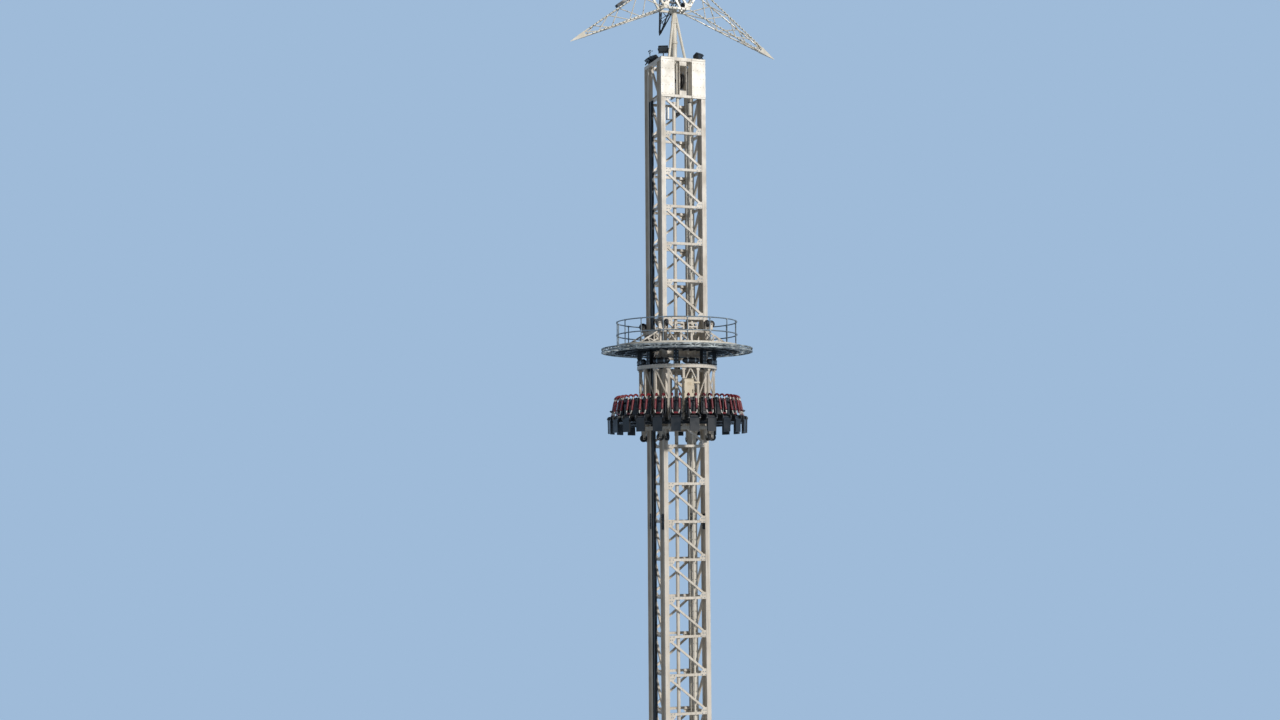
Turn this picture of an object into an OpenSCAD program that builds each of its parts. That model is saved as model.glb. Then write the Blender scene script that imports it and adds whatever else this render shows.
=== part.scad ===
// Drop tower ride: a square lattice mast with a lattice star on its head,
// and a round carriage with outward-facing seats that slides on the mast.
// Millimetres, +Z up, front of the mast towards -Y, origin at the centre of the base's underside.

/* [Mast] */
// Overall width of the square mast over its columns
mast_w = 1700; // [1500:10:1900]
// Height of one braced bay
bay_h = 1325; // [1250:5:1400]
// Braced bays below the joint between the two mast sections
lower_bays = 15; // [14:1:16]
// Braced bays above the joint between the two mast sections
upper_bays = 7; // [6:1:7]
// Height between the end horizontals of the two mast sections
section_gap = 530; // [400:10:700]
// Height of the first horizontal above the columns' feet
first_row = 80; // [60:5:200]
// Width of a column's flanges
column_w = 160; // [120:5:200]
// Depth of a column over its two flanges
column_d = 430; // [300:10:450]
// Thickness of a column's flanges
flange_t = 22; // [12:1:30]
// Thickness of a column's web
web_t = 14; // [10:1:20]
// Height of a horizontal brace
row_h = 90; // [70:5:110]
// Depth of the braces, square to their face
brace_d = 80; // [50:5:90]
// Width of a diagonal brace
diagonal_w = 70; // [50:5:90]
// How far the side braces stand in from the columns' outer edge
side_inset = 60; // [50:5:80]
// Length of the splice plates at the section joint
splice_l = 420; // [300:10:500]
// Thickness of the splice plates
splice_t = 16; // [10:1:20]
// Row of horizontals, from the foot, at which the columns are spliced once more
lower_splice_row = 11; // [8:1:13]
// Length of the splice plates at that row
lower_splice_l = 550; // [400:10:600]

/* [Base] */
// Height of the base beams
base_h = 250; // [200:10:350]
// Width of the base beams
base_beam_w = 260; // [220:10:300]
// Reach of the foot plates beyond the base beams
foot_w = 560; // [520:10:640]
// Thickness of the foot plates and of the column's seat plates
foot_t = 40; // [30:5:60]
// Spacing of a foot plate's anchor holes
anchor_spacing = 420; // [380:10:460]
// Diameter of the anchor holes
anchor_d = 34; // [26:2:40]

/* [Mast fittings] */
// Diameter of the large lift tube
tube_large_d = 125; // [100:5:140]
// Diameter of the small lift tube
tube_small_d = 70; // [50:5:90]
// Wall of the lift tubes
tube_wall = 8; // [5:1:12]
// Distance of each lift tube from the middle of the mast
tube_x = 300; // [280:2:340]
// Thickness of the saddles that hold the lift tubes
saddle_t = 12; // [8:1:20]
// Height of a saddle
saddle_h = 60; // [40:5:80]
// Width of the cable duct on the left side
duct_w = 100; // [60:5:140]
// Depth of the cable duct
duct_d = 56; // [40:2:58]
// Distance of the duct from the middle of the left side
duct_y = 150; // [80:5:250]
// Width of the ladder over its stiles
ladder_w = 300; // [280:10:360]
// Width of a ladder stile
stile_w = 40; // [30:2:60]
// Distance between ladder rungs
rung_pitch = 280; // [250:5:300]
// Diameter of a ladder rung
rung_d = 32; // [20:2:36]

/* [Head] */
// Height of the head above the mast's last horizontal
head_h = 1390; // [1300:10:1500]
// Height of the beams round the top of the head
head_beam_h = 120; // [80:5:160]
// Width of each front plate of the head
plate_w = 515; // [460:5:560]
// Thickness of the head's plates
plate_t = 12; // [6:1:12]
// Depth of the return along each front plate's inner edge
return_d = 380; // [250:10:420]
// Width between the cheeks that carry the sheaves
cheek_gap = 240; // [200:5:280]
// Diameter of the sheaves
sheave_d = 560; // [400:10:620]
// Width of a sheave
sheave_w = 50; // [40:2:70]
// Gap between the front braces and the sheaves
rope_gap = 40; // [20:5:80]

/* [Star] */
// Height of the star's centre above the head
hub_rise = 2760; // [2600:10:3100]
// Length of one side of the six-sided hub
hub_side = 950; // [800:10:1050]
// Depth of the hub, front to back
hub_depth = 620; // [500:10:800]
// Size of the hub's tubes
hub_tube = 70; // [50:5:90]
// Length of a star arm from the hub's side to its tip
arm_l = 3740; // [3200:20:4000]
// Length of the rear star arm
rear_arm_l = 1820; // [1600:20:2400]
// Slope of the rear star arm below the level
rear_slope = 47.5; // [36:0.5:50]
// Width of the rear star arm's root
rear_root_w = 760; // [700:10:800]
// Height of the rear star arm's root, square to the arm
rear_root_h = 500; // [400:10:560]
// Size of an arm's corner tubes
chord_d = 50; // [36:2:60]
// Size of an arm's zigzag braces
zigzag_d = 30; // [20:2:40]
// Length of the closed tip of an arm
tip_l = 620; // [400:20:800]
// Zigzag panels along an arm
arm_panels = 5; // [3:1:6]
// Diameter of the centre pole under the star
pole_d = 190; // [140:5:220]
// Diameter of the stays beside the pole
stay_d = 100; // [80:5:120]
// Distance of the front stays' feet from the pole, sideways
stay_x = 350; // [300:10:400]
// Distance of the front stays' feet from the pole, forwards
stay_front = 280; // [200:10:400]
// Distance of the rear stay's foot from the pole
stay_rear = 420; // [300:10:500]

/* [Carriage] */
// Height of the deck above the ground where the carriage rests
deck_z = 21100; // [20900:10:21300]
// Gap between the mast's face and the carriage's inner frame
guide_clear = 25; // [20:1:40]
// Running gap between a guide roller and the column it rolls on
roller_clear = 0.3; // [0.2:0.1:1]
// Thickness of the inner frame's beams
guide_beam_t = 70; // [50:5:90]
// Height of the inner frame's beams
guide_beam_h = 110; // [80:5:140]
// Height of the inner frame above the deck
guide_h = 600; // [520:10:680]
// Distance of the inner frame's outer posts from the middle of their side
outer_post_x = 750; // [700:10:800]
// Distance of the inner frame's inner posts from the middle of their side
inner_post_x = 200; // [120:10:300]
// Width of a hoop on the inner frame's front and rear beams
hoop_w = 360; // [280:10:380]
// Height of a hoop
hoop_h = 240; // [160:10:280]
// Size of a hoop's tubes
hoop_tube = 40; // [30:2:50]
// Diameter of the guide rollers
roller_d = 260; // [180:5:300]
// Width of the guide rollers
roller_w = 90; // [60:5:110]
// Height of the upper rollers above the inner frame
upper_lift = 80; // [50:5:120]
// Drop of the lower rollers below the drum
lower_lift = 140; // [50:5:160]
// Thickness of a roller's ears
ear_t = 14; // [10:1:20]
// Distance of the sloping struts from the middle of their side
strut_x = 700; // [600:10:750]
// Width of a strut
strut_w = 50; // [40:2:60]
// Height of a strut's upper bar, upright
strut_top_t = 60; // [40:5:80]
// Height of a strut's lower bar, upright
strut_low_t = 45; // [30:5:60]
// Height between a strut's two bars at the inner frame
strut_gap = 260; // [220:10:320]
// Distance between a strut's two bars on the deck
strut_foot_gap = 420; // [360:10:480]
// Distance of a strut's foot from the railing
strut_foot = 250; // [200:10:300]
// Width of a strut's zigzag bars
strut_zigzag = 28; // [20:2:36]
// Radius of the railing
rail_r = 2147; // [2050:10:2250]
// Height of the top rail above the deck
rail_h = 920; // [850:10:1100]
// Diameter of the railing's tubes
rail_d = 42; // [30:2:54]
// Railing posts
rail_posts = 16; // [12:1:20]
// Radius of the outer ring
outer_r = 2700; // [2600:10:2800]
// Size of the outer ring's bars
outer_bar = 60; // [40:5:80]
// Height of the chords of the two rings outside the deck
ring_chord = 36; // [24:2:44]
// How far the ring beams' faces lie inside the spokes' faces
ring_step = 2; // [1:0.5:4]
// Distance of the inner one of these rings from the deck's edge
rim_gap = 70; // [40:10:90]
// Size of the zigzag bars in and between these rings
ring_zigzag = 32; // [24:2:40]
// Radial spokes under the deck
spokes = 24; // [16:4:32]
// Depth of the spokes and ring beams under the deck
spoke_d = 150; // [100:5:200]
// Width of a spoke
spoke_w = 50; // [40:5:70]
// Thickness of the deck plate
deck_t = 20; // [10:1:30]

/* [Gondola] */
// Outer radius of the flange ring over the drum
flange_r = 1425; // [1400:5:1480]
// Radial width of the flange ring
flange_w = 165; // [140:5:170]
// Thickness of the flange ring
flange_ring_t = 120; // [60:5:160]
// Height of the flange ring's top below the deck
flange_drop = 660; // [620:10:720]
// Posts of the drum
drum_posts = 16; // [12:4:24]
// Size of a drum post
post_w = 80; // [60:5:100]
// Radius of the drum's posts, to their middle
post_r = 1330; // [1320:5:1360]
// Height of the drum's posts
drum_h = 2150; // [2000:10:2300]
// Height of the drum's diagonals' lower ends above its foot
drum_mid = 1040; // [900:10:1400]
// Drop of the short braces in the drum's front and rear bays
drum_vee = 520; // [400:10:700]
// Distance of the lower guide frame's arms from the middle of their side
lower_arm_x = 350; // [250:10:450]
// Diameter of the air tanks on the flange ring
tank_d = 210; // [160:5:220]
// Length of an air tank
tank_l = 640; // [500:10:720]
// Height of an air tank above the flange ring
tank_lift = 20; // [10:2:40]
// Width of the cabinet on the drum
cabinet_w = 370; // [300:10:400]
// How far the cabinet stands out to the left of its rails
cabinet_shift = 68; // [0:2:100]
// Height of the cabinet on the drum
cabinet_h = 900; // [600:20:1100]
// Depth of the cabinet on the drum
cabinet_d = 220; // [150:10:260]
// Seats round the gondola
seats = 24; // [24:1:24]
// Radius of the seat backs' front face
seat_r = 2020; // [1980:10:2100]
// Width of a seat over its bolsters
seat_w = 440; // [400:5:460]
// Width of a seat's side bolster
bolster_w = 55; // [40:5:70]
// Height of the seat pans below the deck
pan_drop = 2620; // [2560:10:2700]
// Depth of a seat pan
pan_l = 430; // [380:10:480]
// Height of a seat back above its pan
back_h = 760; // [700:10:820]
// Radius of a harness over the shoulder
shoulder_r = 150; // [130:5:170]
// Size of a harness's tubes
harness_t = 60; // [40:5:65]
// Drop of a harness's lap bar below the seat back's top
lap_drop = 560; // [520:10:580]
// Distance of the lap bar's front from the seat back
lap_reach = 350; // [300:10:380]

/* [Hidden] */

cream = [0.90, 0.86, 0.76];
galvanised = [0.45, 0.49, 0.53];
black = [0.10, 0.10, 0.11];
maroon = [0.45, 0.10, 0.10];

eps = 0.01;
// play between parts that stand on each other
joint_gap = 0.2;
// how far a welded part reaches into the one that carries it
weld = 10;
half = mast_w / 2;
col_x = half - column_w / 2;
col_y = half - column_d / 2;
foot_z = base_h + foot_t;
row_0 = foot_z + first_row;
lower_top = row_0 + lower_bays * bay_h;
upper_bottom = lower_top + section_gap;
upper_top = upper_bottom + upper_bays * bay_h;
head_top = upper_top + head_h;
head_beam_z = head_top - head_beam_h;
lower_rows = [for (k = [0 : lower_bays]) row_0 + k * bay_h];
upper_rows = [for (k = [0 : upper_bays]) upper_bottom + k * bay_h];
rows = concat(lower_rows, upper_rows);
front_span = 2 * (col_x - web_t / 2);
side_span = mast_w - 2 * column_d;
face_y = half - flange_t;
side_x = half - side_inset;
section_joint = lower_top + section_gap / 2;

// A straight bar of n sides between two points
module bar(p, q, d, n = 6) {
    v = q - p;
    l = norm(v);
    translate(p)
        rotate([0, acos(v.z / l), atan2(v.y, v.x)])
            rotate([0, 0, 180 / n])
                cylinder(d = d, h = l, $fn = n);
}

// Copies its children at a and at its mirror image in x
module both_sides() {
    children();
    mirror([1, 0, 0]) children();
}

// Copies its children into the four corners of the mast
module four_corners() {
    both_sides() {
        children();
        mirror([0, 1, 0]) children();
    }
}

// Two pairs of beams under the columns, a cross through the middle, and a foot plate at each corner
module base_frame() {
    beam_edge = [col_x + base_beam_w / 2, col_y + base_beam_w / 2];
    run = beam_edge + [foot_w, foot_w];
    seat_w = column_w + 60;
    seat_d = column_d + 60;
    color("dimgray")
    difference() {
        union() {
            for (s = [-1, 1]) {
                translate([s * col_x - base_beam_w / 2, -run.y, 0])
                    cube([base_beam_w, 2 * run.y, base_h]);
                translate([-run.x, s * col_y - base_beam_w / 2, 0])
                    cube([2 * run.x, base_beam_w, base_h]);
            }
            translate([-col_x, -base_beam_w / 2, 0])
                cube([2 * col_x, base_beam_w, base_h]);
            translate([-base_beam_w / 2, -col_y, 0])
                cube([base_beam_w, 2 * col_y, base_h]);
            four_corners() {
                translate([col_x, col_y, 0])
                    cube([run.x - col_x, run.y - col_y, foot_t]);
                // the seat plate under the column
                translate([col_x - seat_w / 2, col_y - seat_d / 2, base_h - foot_t])
                    cube([seat_w, seat_d, 2 * foot_t]);
            }
        }
        four_corners()
            translate([beam_edge.x + foot_w / 2, beam_edge.y + foot_w / 2, -1])
                for (sx = [-1, 1], sy = [-1, 1])
                    translate([sx * anchor_spacing / 2, sy * anchor_spacing / 2, 0])
                        cylinder(d = anchor_d, h = foot_t + 2, $fn = 32);
    }
}

module column() {
    color(cream)
    translate([0, 0, foot_z])
        linear_extrude(head_beam_z - foot_z)
            column_section();
}

module column_section() {
    for (s = [-1, 1])
        translate([-column_w / 2, s * (column_d - flange_t) / 2 - flange_t / 2])
            square([column_w, flange_t]);
    translate([-web_t / 2, -column_d / 2 + flange_t / 2])
        square([web_t, column_d - flange_t]);
}

// A diagonal that fills a bay a wide and b high from its upper left to its lower right corner
module diagonal_shape(a, b) {
    l = norm([a, b]);
    u = diagonal_w / 2 * l / b;
    v = diagonal_w / 2 * l / a;
    polygon([
        [-a / 2, b / 2], [-a / 2, b / 2 - v], [a / 2 - u, -b / 2],
        [a / 2, -b / 2], [a / 2, -b / 2 + v], [-a / 2 + u, b / 2]
    ]);
}

// One flat side of the lattice: x along the face, y up, extruded by the braces' depth
module lattice_side(span, head_diagonal) {
    linear_extrude(brace_d) {
        for (z = rows)
            translate([-span / 2, z - row_h / 2])
                square([span, row_h]);
        for (z = concat([for (k = [0 : lower_bays - 1]) lower_rows[k]],
                        [for (k = [0 : upper_bays - 1]) upper_rows[k]]))
            translate([0, z + bay_h / 2])
                diagonal_shape(span, bay_h - row_h);
        if (head_diagonal)
            translate([0, (upper_top + row_h / 2 + head_beam_z) / 2])
                diagonal_shape(span, head_beam_z - upper_top - row_h / 2);
    }
}

module lattice_front() {
    color(cream)
    translate([0, -face_y + brace_d, 0])
        rotate([90, 0, 0])
            lattice_side(front_span, false);
}

module lattice_rear() {
    color(cream)
    translate([0, face_y - brace_d, 0])
        rotate([90, 0, 180])
            lattice_side(front_span, true);
}

module lattice_left() {
    color(cream)
    translate([-side_x + brace_d, 0, 0])
        rotate([90, 0, -90])
            lattice_side(side_span, true);
}

module lattice_right() {
    color(cream)
    translate([side_x - brace_d, 0, 0])
        rotate([90, 0, 90])
            lattice_side(side_span, true);
}

// Plates on both sides of each column's web, at the section joint and at the splice lower down,
// where they stop short of the braces
module column_splices() {
    color("gray")
    four_corners() {
        splice_pair(section_joint, splice_l, face_y - 20);
        splice_pair(lower_rows[lower_splice_row], lower_splice_l, face_y - brace_d - 10);
    }
}

module splice_pair(z, l, y_far) {
    y_near = half - column_d + flange_t + 20;
    for (s = [-1, 1])
        translate([col_x + s * (web_t + splice_t) / 2 - splice_t / 2, y_near, z - l / 2])
            cube([splice_t, y_far - y_near, l]);
}

// A lift tube with the saddles that hold it to every second horizontal
module lift_tube(d, x) {
    y = -face_y + brace_d + saddle_t + d / 2;
    bottom = row_0 - row_h / 2;
    top = upper_top - row_h / 2 - 160;
    saddle_rows = [for (k = [0 : 2 : len(rows) - 2]) rows[k]];
    color(cream)
    difference() {
        union() {
            translate([x, y, bottom]) cylinder(d = d, h = top - bottom, $fn = 48);
            for (z = saddle_rows)
                translate([x - d / 2, y - d / 2 - saddle_t, z - saddle_h / 2])
                    cube([d, saddle_t + d / 2, saddle_h]);
            // the collar at the tube's head
            translate([x, y, top - 60]) cylinder(d = d + 2 * saddle_t - 2, h = 60, $fn = 48);
        }
        translate([x, y, bottom - 1]) cylinder(d = d - 2 * tube_wall, h = top - bottom + 2, $fn = 48);
    }
}

module lift_tube_large() {
    lift_tube(tube_large_d, -tube_x);
}

module lift_tube_small() {
    lift_tube(tube_small_d, tube_x);
}

// The ladder stands inside the right side, its outer stile on the side braces
module ladder() {
    right = side_x - brace_d;
    bottom = foot_z;
    top = head_beam_z;
    rungs = floor((top - bottom - rung_pitch) / rung_pitch);
    color("gray") {
        for (x = [right - ladder_w, right - stile_w])
            translate([x, -stile_w / 2, bottom])
                cube([stile_w, stile_w, top - bottom]);
        for (k = [1 : rungs])
            translate([right - ladder_w + stile_w - eps, 0, bottom + k * rung_pitch])
                rotate([0, 90, 0])
                    cylinder(d = rung_d, h = ladder_w - 2 * stile_w + 2 * eps, $fn = 6);
    }
}

// A channel with its open side outwards
module cable_duct() {
    lip = 8;
    color(black)
    translate([-side_x - duct_d, duct_y - duct_w / 2, foot_z])
        difference() {
            cube([duct_d, duct_w, upper_top - foot_z]);
            translate([-1, lip, -1])
                cube([duct_d - lip + 1, duct_w - 2 * lip, upper_top - foot_z + 2]);
        }
}

module head_plate(s) {
    low = upper_top - row_h / 2 - 15;
    inner = half - plate_w;
    color(cream)
    scale([s, 1, 1]) {
        // the sheet over the column
        translate([inner, -half - plate_t, low])
            cube([plate_w, plate_t, head_top - low]);
        // the return along the slot, between the last horizontal and the top beam
        translate([inner, -half - plate_t + eps, upper_top + row_h / 2])
            cube([plate_t, return_d, head_beam_z - upper_top - row_h / 2]);
    }
}

module head_plate_left() {
    mirror([1, 0, 0]) head_plate(1);
}

module head_plate_right() {
    head_plate(1);
}

module head_beams() {
    w = column_w;
    color("lightgray")
    translate([0, 0, head_beam_z]) {
        difference() {
            translate([-half, -half, 0]) cube([mast_w, mast_w, head_beam_h]);
            translate([-half + w, -half + w, -1])
                cube([mast_w - 2 * w, mast_w - 2 * w, head_beam_h + 2]);
        }
        for (s = [-1, 1])
            translate([s * stay_x - w / 2, -half + w - eps, 0])
                cube([w, mast_w - 2 * w + 2 * eps, head_beam_h]);
        for (y = [0, stay_rear])
            translate([-stay_x, y - w / 2, 0]) cube([2 * stay_x, w, head_beam_h]);
    }
}

sheave_y = -face_y + brace_d + rope_gap + sheave_d / 2;
sheave_z = (upper_top + head_beam_z) / 2;
axle_d = 80;
axle_gap = 0.3;

// Two cheeks hang under the front beam and the middle one and carry the sheaves' axle
module sheave_frame() {
    low = upper_top + row_h / 2;
    cheek_l = face_y + column_w / 2;
    color(cream)
    difference() {
        union() {
            both_sides()
                translate([cheek_gap / 2, -face_y, low])
                    cube([plate_t, cheek_l, head_beam_z - low]);
            for (z = [low, head_beam_z - 160])
                translate([-cheek_gap / 2 - eps, -face_y, z])
                    cube([cheek_gap + 2 * eps, plate_t, 160]);
        }
        translate([-half, sheave_y, sheave_z])
            rotate([0, 90, 0]) cylinder(d = axle_d + 2 * axle_gap, h = mast_w, $fn = 48);
    }
}

module head_sheaves() {
    color("dimgray")
    translate([0, sheave_y, sheave_z])
        rotate([0, 90, 0]) {
            cylinder(d = axle_d, h = cheek_gap + 2 * plate_t + 60, center = true, $fn = 48);
            for (s = [-1, 1])
                translate([0, 0, s * cheek_gap / 5])
                    rotate_extrude($fn = 96)
                        polygon([
                            [axle_d / 2 - eps, -sheave_w / 2], [sheave_d / 2, -sheave_w / 2],
                            [sheave_d / 2 - 30, -6], [sheave_d / 2 - 30, 6],
                            [sheave_d / 2, sheave_w / 2], [axle_d / 2 - eps, sheave_w / 2]
                        ]);
        }
}

lamp_x = half - 150;
lamp_gap = 190;
wind_y = half - 430;

// A floodlight on its stand, shining down and outwards
module floodlight(p, turn) {
    translate(p)
        rotate([0, 0, turn]) {
            translate([-25, -15, 0]) cube([50, 30, 160]);
            translate([0, 0, 190])
                rotate([-35, 0, 0])
                    cube([340, 240, 70], center = true);
        }
}

module floodlights() {
    color(black) {
        floodlight([-lamp_x, wind_y - lamp_gap, head_top], -70);
        floodlight([-lamp_x - 50, wind_y + lamp_gap, head_top], -90);
        floodlight([lamp_x, -half + 290, head_top], 30);
        floodlight([lamp_x, half - 290, head_top], 120);
    }
}

module wind_mast() {
    color("dimgray")
    translate([-half + 60, wind_y, head_top]) {
        cylinder(d = 30, h = 420, $fn = 8);
        translate([-12, -70, 420 - eps]) cube([24, 140, 24]);
    }
}

hub_z = head_top + hub_rise;
hub_in = hub_side * sqrt(3) / 2;
// the pole's top, 10 up inside the hub's lower side
hub_seat = hub_in - 10;

// The centre pole with its three stays
module star_pole() {
    top = hub_z - hub_seat - joint_gap;
    color(cream) {
        translate([0, 0, head_top]) cylinder(d = pole_d, h = top - head_top, $fn = 48);
        for (p = [[-stay_x, -stay_front], [stay_x, -stay_front], [0, stay_rear]])
            intersection() {
                bar([p.x, p.y, head_top - 100], [0, 0, top + 100], stay_d, 8);
                translate([-half, -half, head_top]) cube([mast_w, mast_w, top - head_top]);
            }
    }
}

// A six-sided frame, two rings joined by cross bars, with a side facing straight down
module star_hub() {
    side_r = hub_side;
    color(cream)
    translate([0, 0, hub_z])
        rotate([90, 0, 0]) {
            for (z = [-hub_depth / 2, hub_depth / 2 - hub_tube])
                translate([0, 0, z])
                    linear_extrude(hub_tube) {
                        difference() {
                            circle(r = side_r, $fn = 6);
                            circle(r = side_r - hub_tube * 2 / sqrt(3), $fn = 6);
                        }
                        for (k = [0 : 2])
                            rotate(60 * k)
                                square([2 * (side_r - hub_tube), hub_tube], center = true);
                    }
            for (k = [0 : 5])
                rotate([0, 0, 60 * k])
                    translate([side_r - 1.6 * hub_tube, 5 - hub_tube / 2, (hub_tube - hub_depth) / 2])
                        cube([hub_tube, hub_tube - 10, hub_depth - hub_tube]);
            // the saddle that sits on the pole
            translate([-pole_d / 2, -hub_seat, (hub_tube - hub_depth) / 2])
                cube([pole_d, hub_tube, hub_depth - hub_tube]);
        }
}

// A lattice pyramid that stands on a rectangle a by b and tapers to a closed tip and a needle
module lattice_arm(a, b, l) {
    ha = a / 2 - chord_d / 2;
    hb = b / 2 - chord_d / 2;
    open_l = l - tip_l;
    k_end = 1 - open_l / l;
    corner = [[-1, -1], [1, -1], [1, 1], [-1, 1]];
    levels = [for (i = [0 : arm_panels]) open_l * (1 - pow(1 - i / arm_panels, 1.15))];
    function at(c, z) = [c.x * ha * (1 - z / l), c.y * hb * (1 - z / l), z];
    intersection() {
        union() {
            for (c = corner)
                bar(at(c, -chord_d), at(c, open_l + 20), chord_d, 6);
            for (i = [0 : arm_panels - 1], j = [0 : 3]) {
                c = corner[j];
                d = corner[(j + 1) % 4];
                flip = (i + j) % 2 == 0;
                bar(at(flip ? c : d, levels[i]), at(flip ? d : c, levels[i + 1]), zigzag_d, 4);
            }
        }
        translate([-a, -b, 0]) cube([2 * a, 2 * b, l]);
    }
    // the closed tip
    translate([0, 0, open_l])
        linear_extrude(tip_l, scale = 0.08)
            square([2 * ha * k_end + chord_d + 10, 2 * hb * k_end + chord_d + 10], center = true);
}

module star_arm(turn) {
    color(cream)
    translate([0, 0, hub_z])
        rotate([0, turn, 0])
            translate([0, 0, hub_in + joint_gap])
                lattice_arm(hub_side, hub_depth, arm_l);
}

// The rear arm starts from a frame on the back of the hub
module star_arm_rear() {
    start = hub_depth / 2;
    frame_w = rear_root_w;
    frame_h = rear_root_h / cos(rear_slope) + 2 * hub_tube;
    color("gray") {
        translate([0, start, hub_z])
            rotate([-90, 0, 0])
                linear_extrude(hub_tube)
                    difference() {
                        square([frame_w, frame_h], center = true);
                        square([frame_w - 2 * hub_tube, frame_h - 2 * hub_tube], center = true);
                    }
        intersection() {
            translate([0, start, hub_z])
                rotate([-90 - rear_slope, 0, 0])
                    lattice_arm(rear_root_w, rear_root_h, rear_arm_l);
            translate([-half, start + eps, 0]) cube([mast_w, 4 * half, 2 * head_top]);
        }
    }
}

module star_arm_left() {
    star_arm(-120);
}

module star_arm_right() {
    star_arm(120);
}

module star_arm_upper_left() {
    star_arm(-60);
}

module star_arm_upper_right() {
    star_arm(60);
}

module star_arm_top() {
    star_arm(0);
}

inner = half + guide_clear;
guide_out = inner + guide_beam_t;
guide_top = deck_z + guide_h;
spoke_top = deck_z - deck_t;
spoke_low = spoke_top - spoke_d;
flange_top = deck_z - flange_drop;
flange_low = flange_top - flange_ring_t;
drum_low = flange_low - drum_h;

// The square cream frame round the mast, with its posts
module guide_frame() {
    color(cream) {
        translate([0, 0, guide_top - guide_beam_h])
            square_ring(inner, guide_out, guide_beam_h);
        translate([0, 0, spoke_low])
            square_ring(inner, guide_out, spoke_d + deck_t);
        for (a = [0 : 90 : 270], x = [-outer_post_x, -inner_post_x, inner_post_x, outer_post_x])
            rotate([0, 0, a])
                translate([x - guide_beam_t / 2, -guide_out, deck_z - weld])
                    cube([guide_beam_t, guide_beam_t, guide_h - guide_beam_h + 2 * weld]);
        for (sx = [-1, 1], sy = [-1, 1])
            translate([sx * hoop_w * 0.7, sy * (guide_out - guide_beam_t / 2), guide_top - weld])
                hoop();
    }
}

// A hoop of square tube with a lower cross bar
module hoop() {
    rotate([90, 0, 0])
        translate([0, 0, -hoop_tube / 2])
            linear_extrude(hoop_tube) {
                difference() {
                    translate([-hoop_w / 2, 0]) square([hoop_w, hoop_h + weld]);
                    translate([-hoop_w / 2 + hoop_tube, -1])
                        square([hoop_w - 2 * hoop_tube, hoop_h + weld - hoop_tube + 1]);
                }
                translate([-hoop_w / 2, hoop_h / 3]) square([hoop_w, hoop_tube]);
            }
}

module square_ring(r_in, r_out, h) {
    linear_extrude(h)
        difference() {
            square(2 * r_out, center = true);
            square(2 * r_in, center = true);
        }
}

// Rollers that run on the columns' front and rear faces and on their outer edges, above the inner
// frame and below the drum
module guide_rollers() {
    color(black) {
        translate([0, 0, guide_top]) roller_set(upper_lift);
        translate([0, 0, drum_low]) mirror([0, 0, 1]) roller_set(lower_lift);
    }
}

module roller_set(lift) {
    four_corners() {
        translate([col_x, half, 0]) guide_roller(lift);
        translate([half, half - flange_t / 2, 0]) rotate([0, 0, -90]) guide_roller(lift);
    }
}

// A roller beside the surface at y = 0, between two ears that stand on the frame's beam
module guide_roller(lift) {
    axle = [0, roller_clear + roller_d / 2, lift + roller_d / 2];
    ear_y = guide_clear + 5;
    translate(axle)
        rotate([0, 90, 0])
            cylinder(d = roller_d, h = roller_w, center = true, $fn = 48);
    for (s = [-1, 1])
        translate([s * (roller_w + ear_t) / 2 - ear_t / 2, ear_y, 0])
            cube([ear_t, axle.y + 45 - ear_y, axle.z + 40]);
}

// Sloping lattice struts from the inner frame down to the deck, two on each side
module frame_struts() {
    high = guide_top - 20;
    foot = -rail_r + strut_foot;
    tops = [-guide_out, high, foot];
    lows = [-guide_out, high - strut_gap, foot + strut_foot_gap];
    // a point on the middle of a bar, from 0 at the frame to 1 on the deck
    function mid(b, t, k) = [b[0] + k * (b[2] - b[0]), b[1] - t / 2 + k * (deck_z - b[1])];
    color(cream)
    for (a = [0 : 90 : 270], s = [-1, 1])
        rotate([0, 0, a])
            translate([s * strut_x - strut_w / 2, 0, 0])
                rotate([90, 0, 90])
                    linear_extrude(strut_w) {
                        strut_shape(tops, strut_top_t);
                        strut_shape(lows, strut_low_t);
                        for (k = [0.08, 0.33, 0.58], step = [0, 0.25])
                            flat_bar(mid(tops, strut_top_t, k + 0.125), mid(lows, strut_low_t, k + step),
                                     strut_zigzag);
                    }
}

// A sloping bar's side view, cut upright at the frame and level on the deck
module strut_shape(b, t) {
    polygon([[b[0], b[1]], [b[0], b[1] - t], [b[2] + 1.4 * t, deck_z], [b[2], deck_z]]);
}

// A flat bar w wide between two points of a side view
module flat_bar(p, q, w) {
    side = w / 2 * [p.y - q.y, q.x - p.x] / norm(q - p);
    polygon([p - side, q - side, q + side, p + side]);
}

module deck() {
    color("dimgray")
    translate([0, 0, spoke_top])
        linear_extrude(deck_t)
            difference() {
                circle(r = rail_r + rail_d, $fn = 96);
                square(2 * guide_out, center = true);
            }
}

module tube_ring(r, z, d) {
    translate([0, 0, z])
        rotate_extrude($fn = 96)
            translate([r, 0]) circle(d = d, $fn = 24);
}

module deck_railing() {
    color(galvanised) {
        tube_ring(rail_r, deck_z + rail_h, rail_d);
        tube_ring(rail_r, deck_z + rail_h / 2, rail_d);
        for (k = [0 : rail_posts - 1])
            rotate([0, 0, (k + 0.5) * 360 / rail_posts])
                translate([rail_r, 0, deck_z + joint_gap])
                    cylinder(d = rail_d - 4, h = rail_h - joint_gap, $fn = 24);
    }
}

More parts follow.
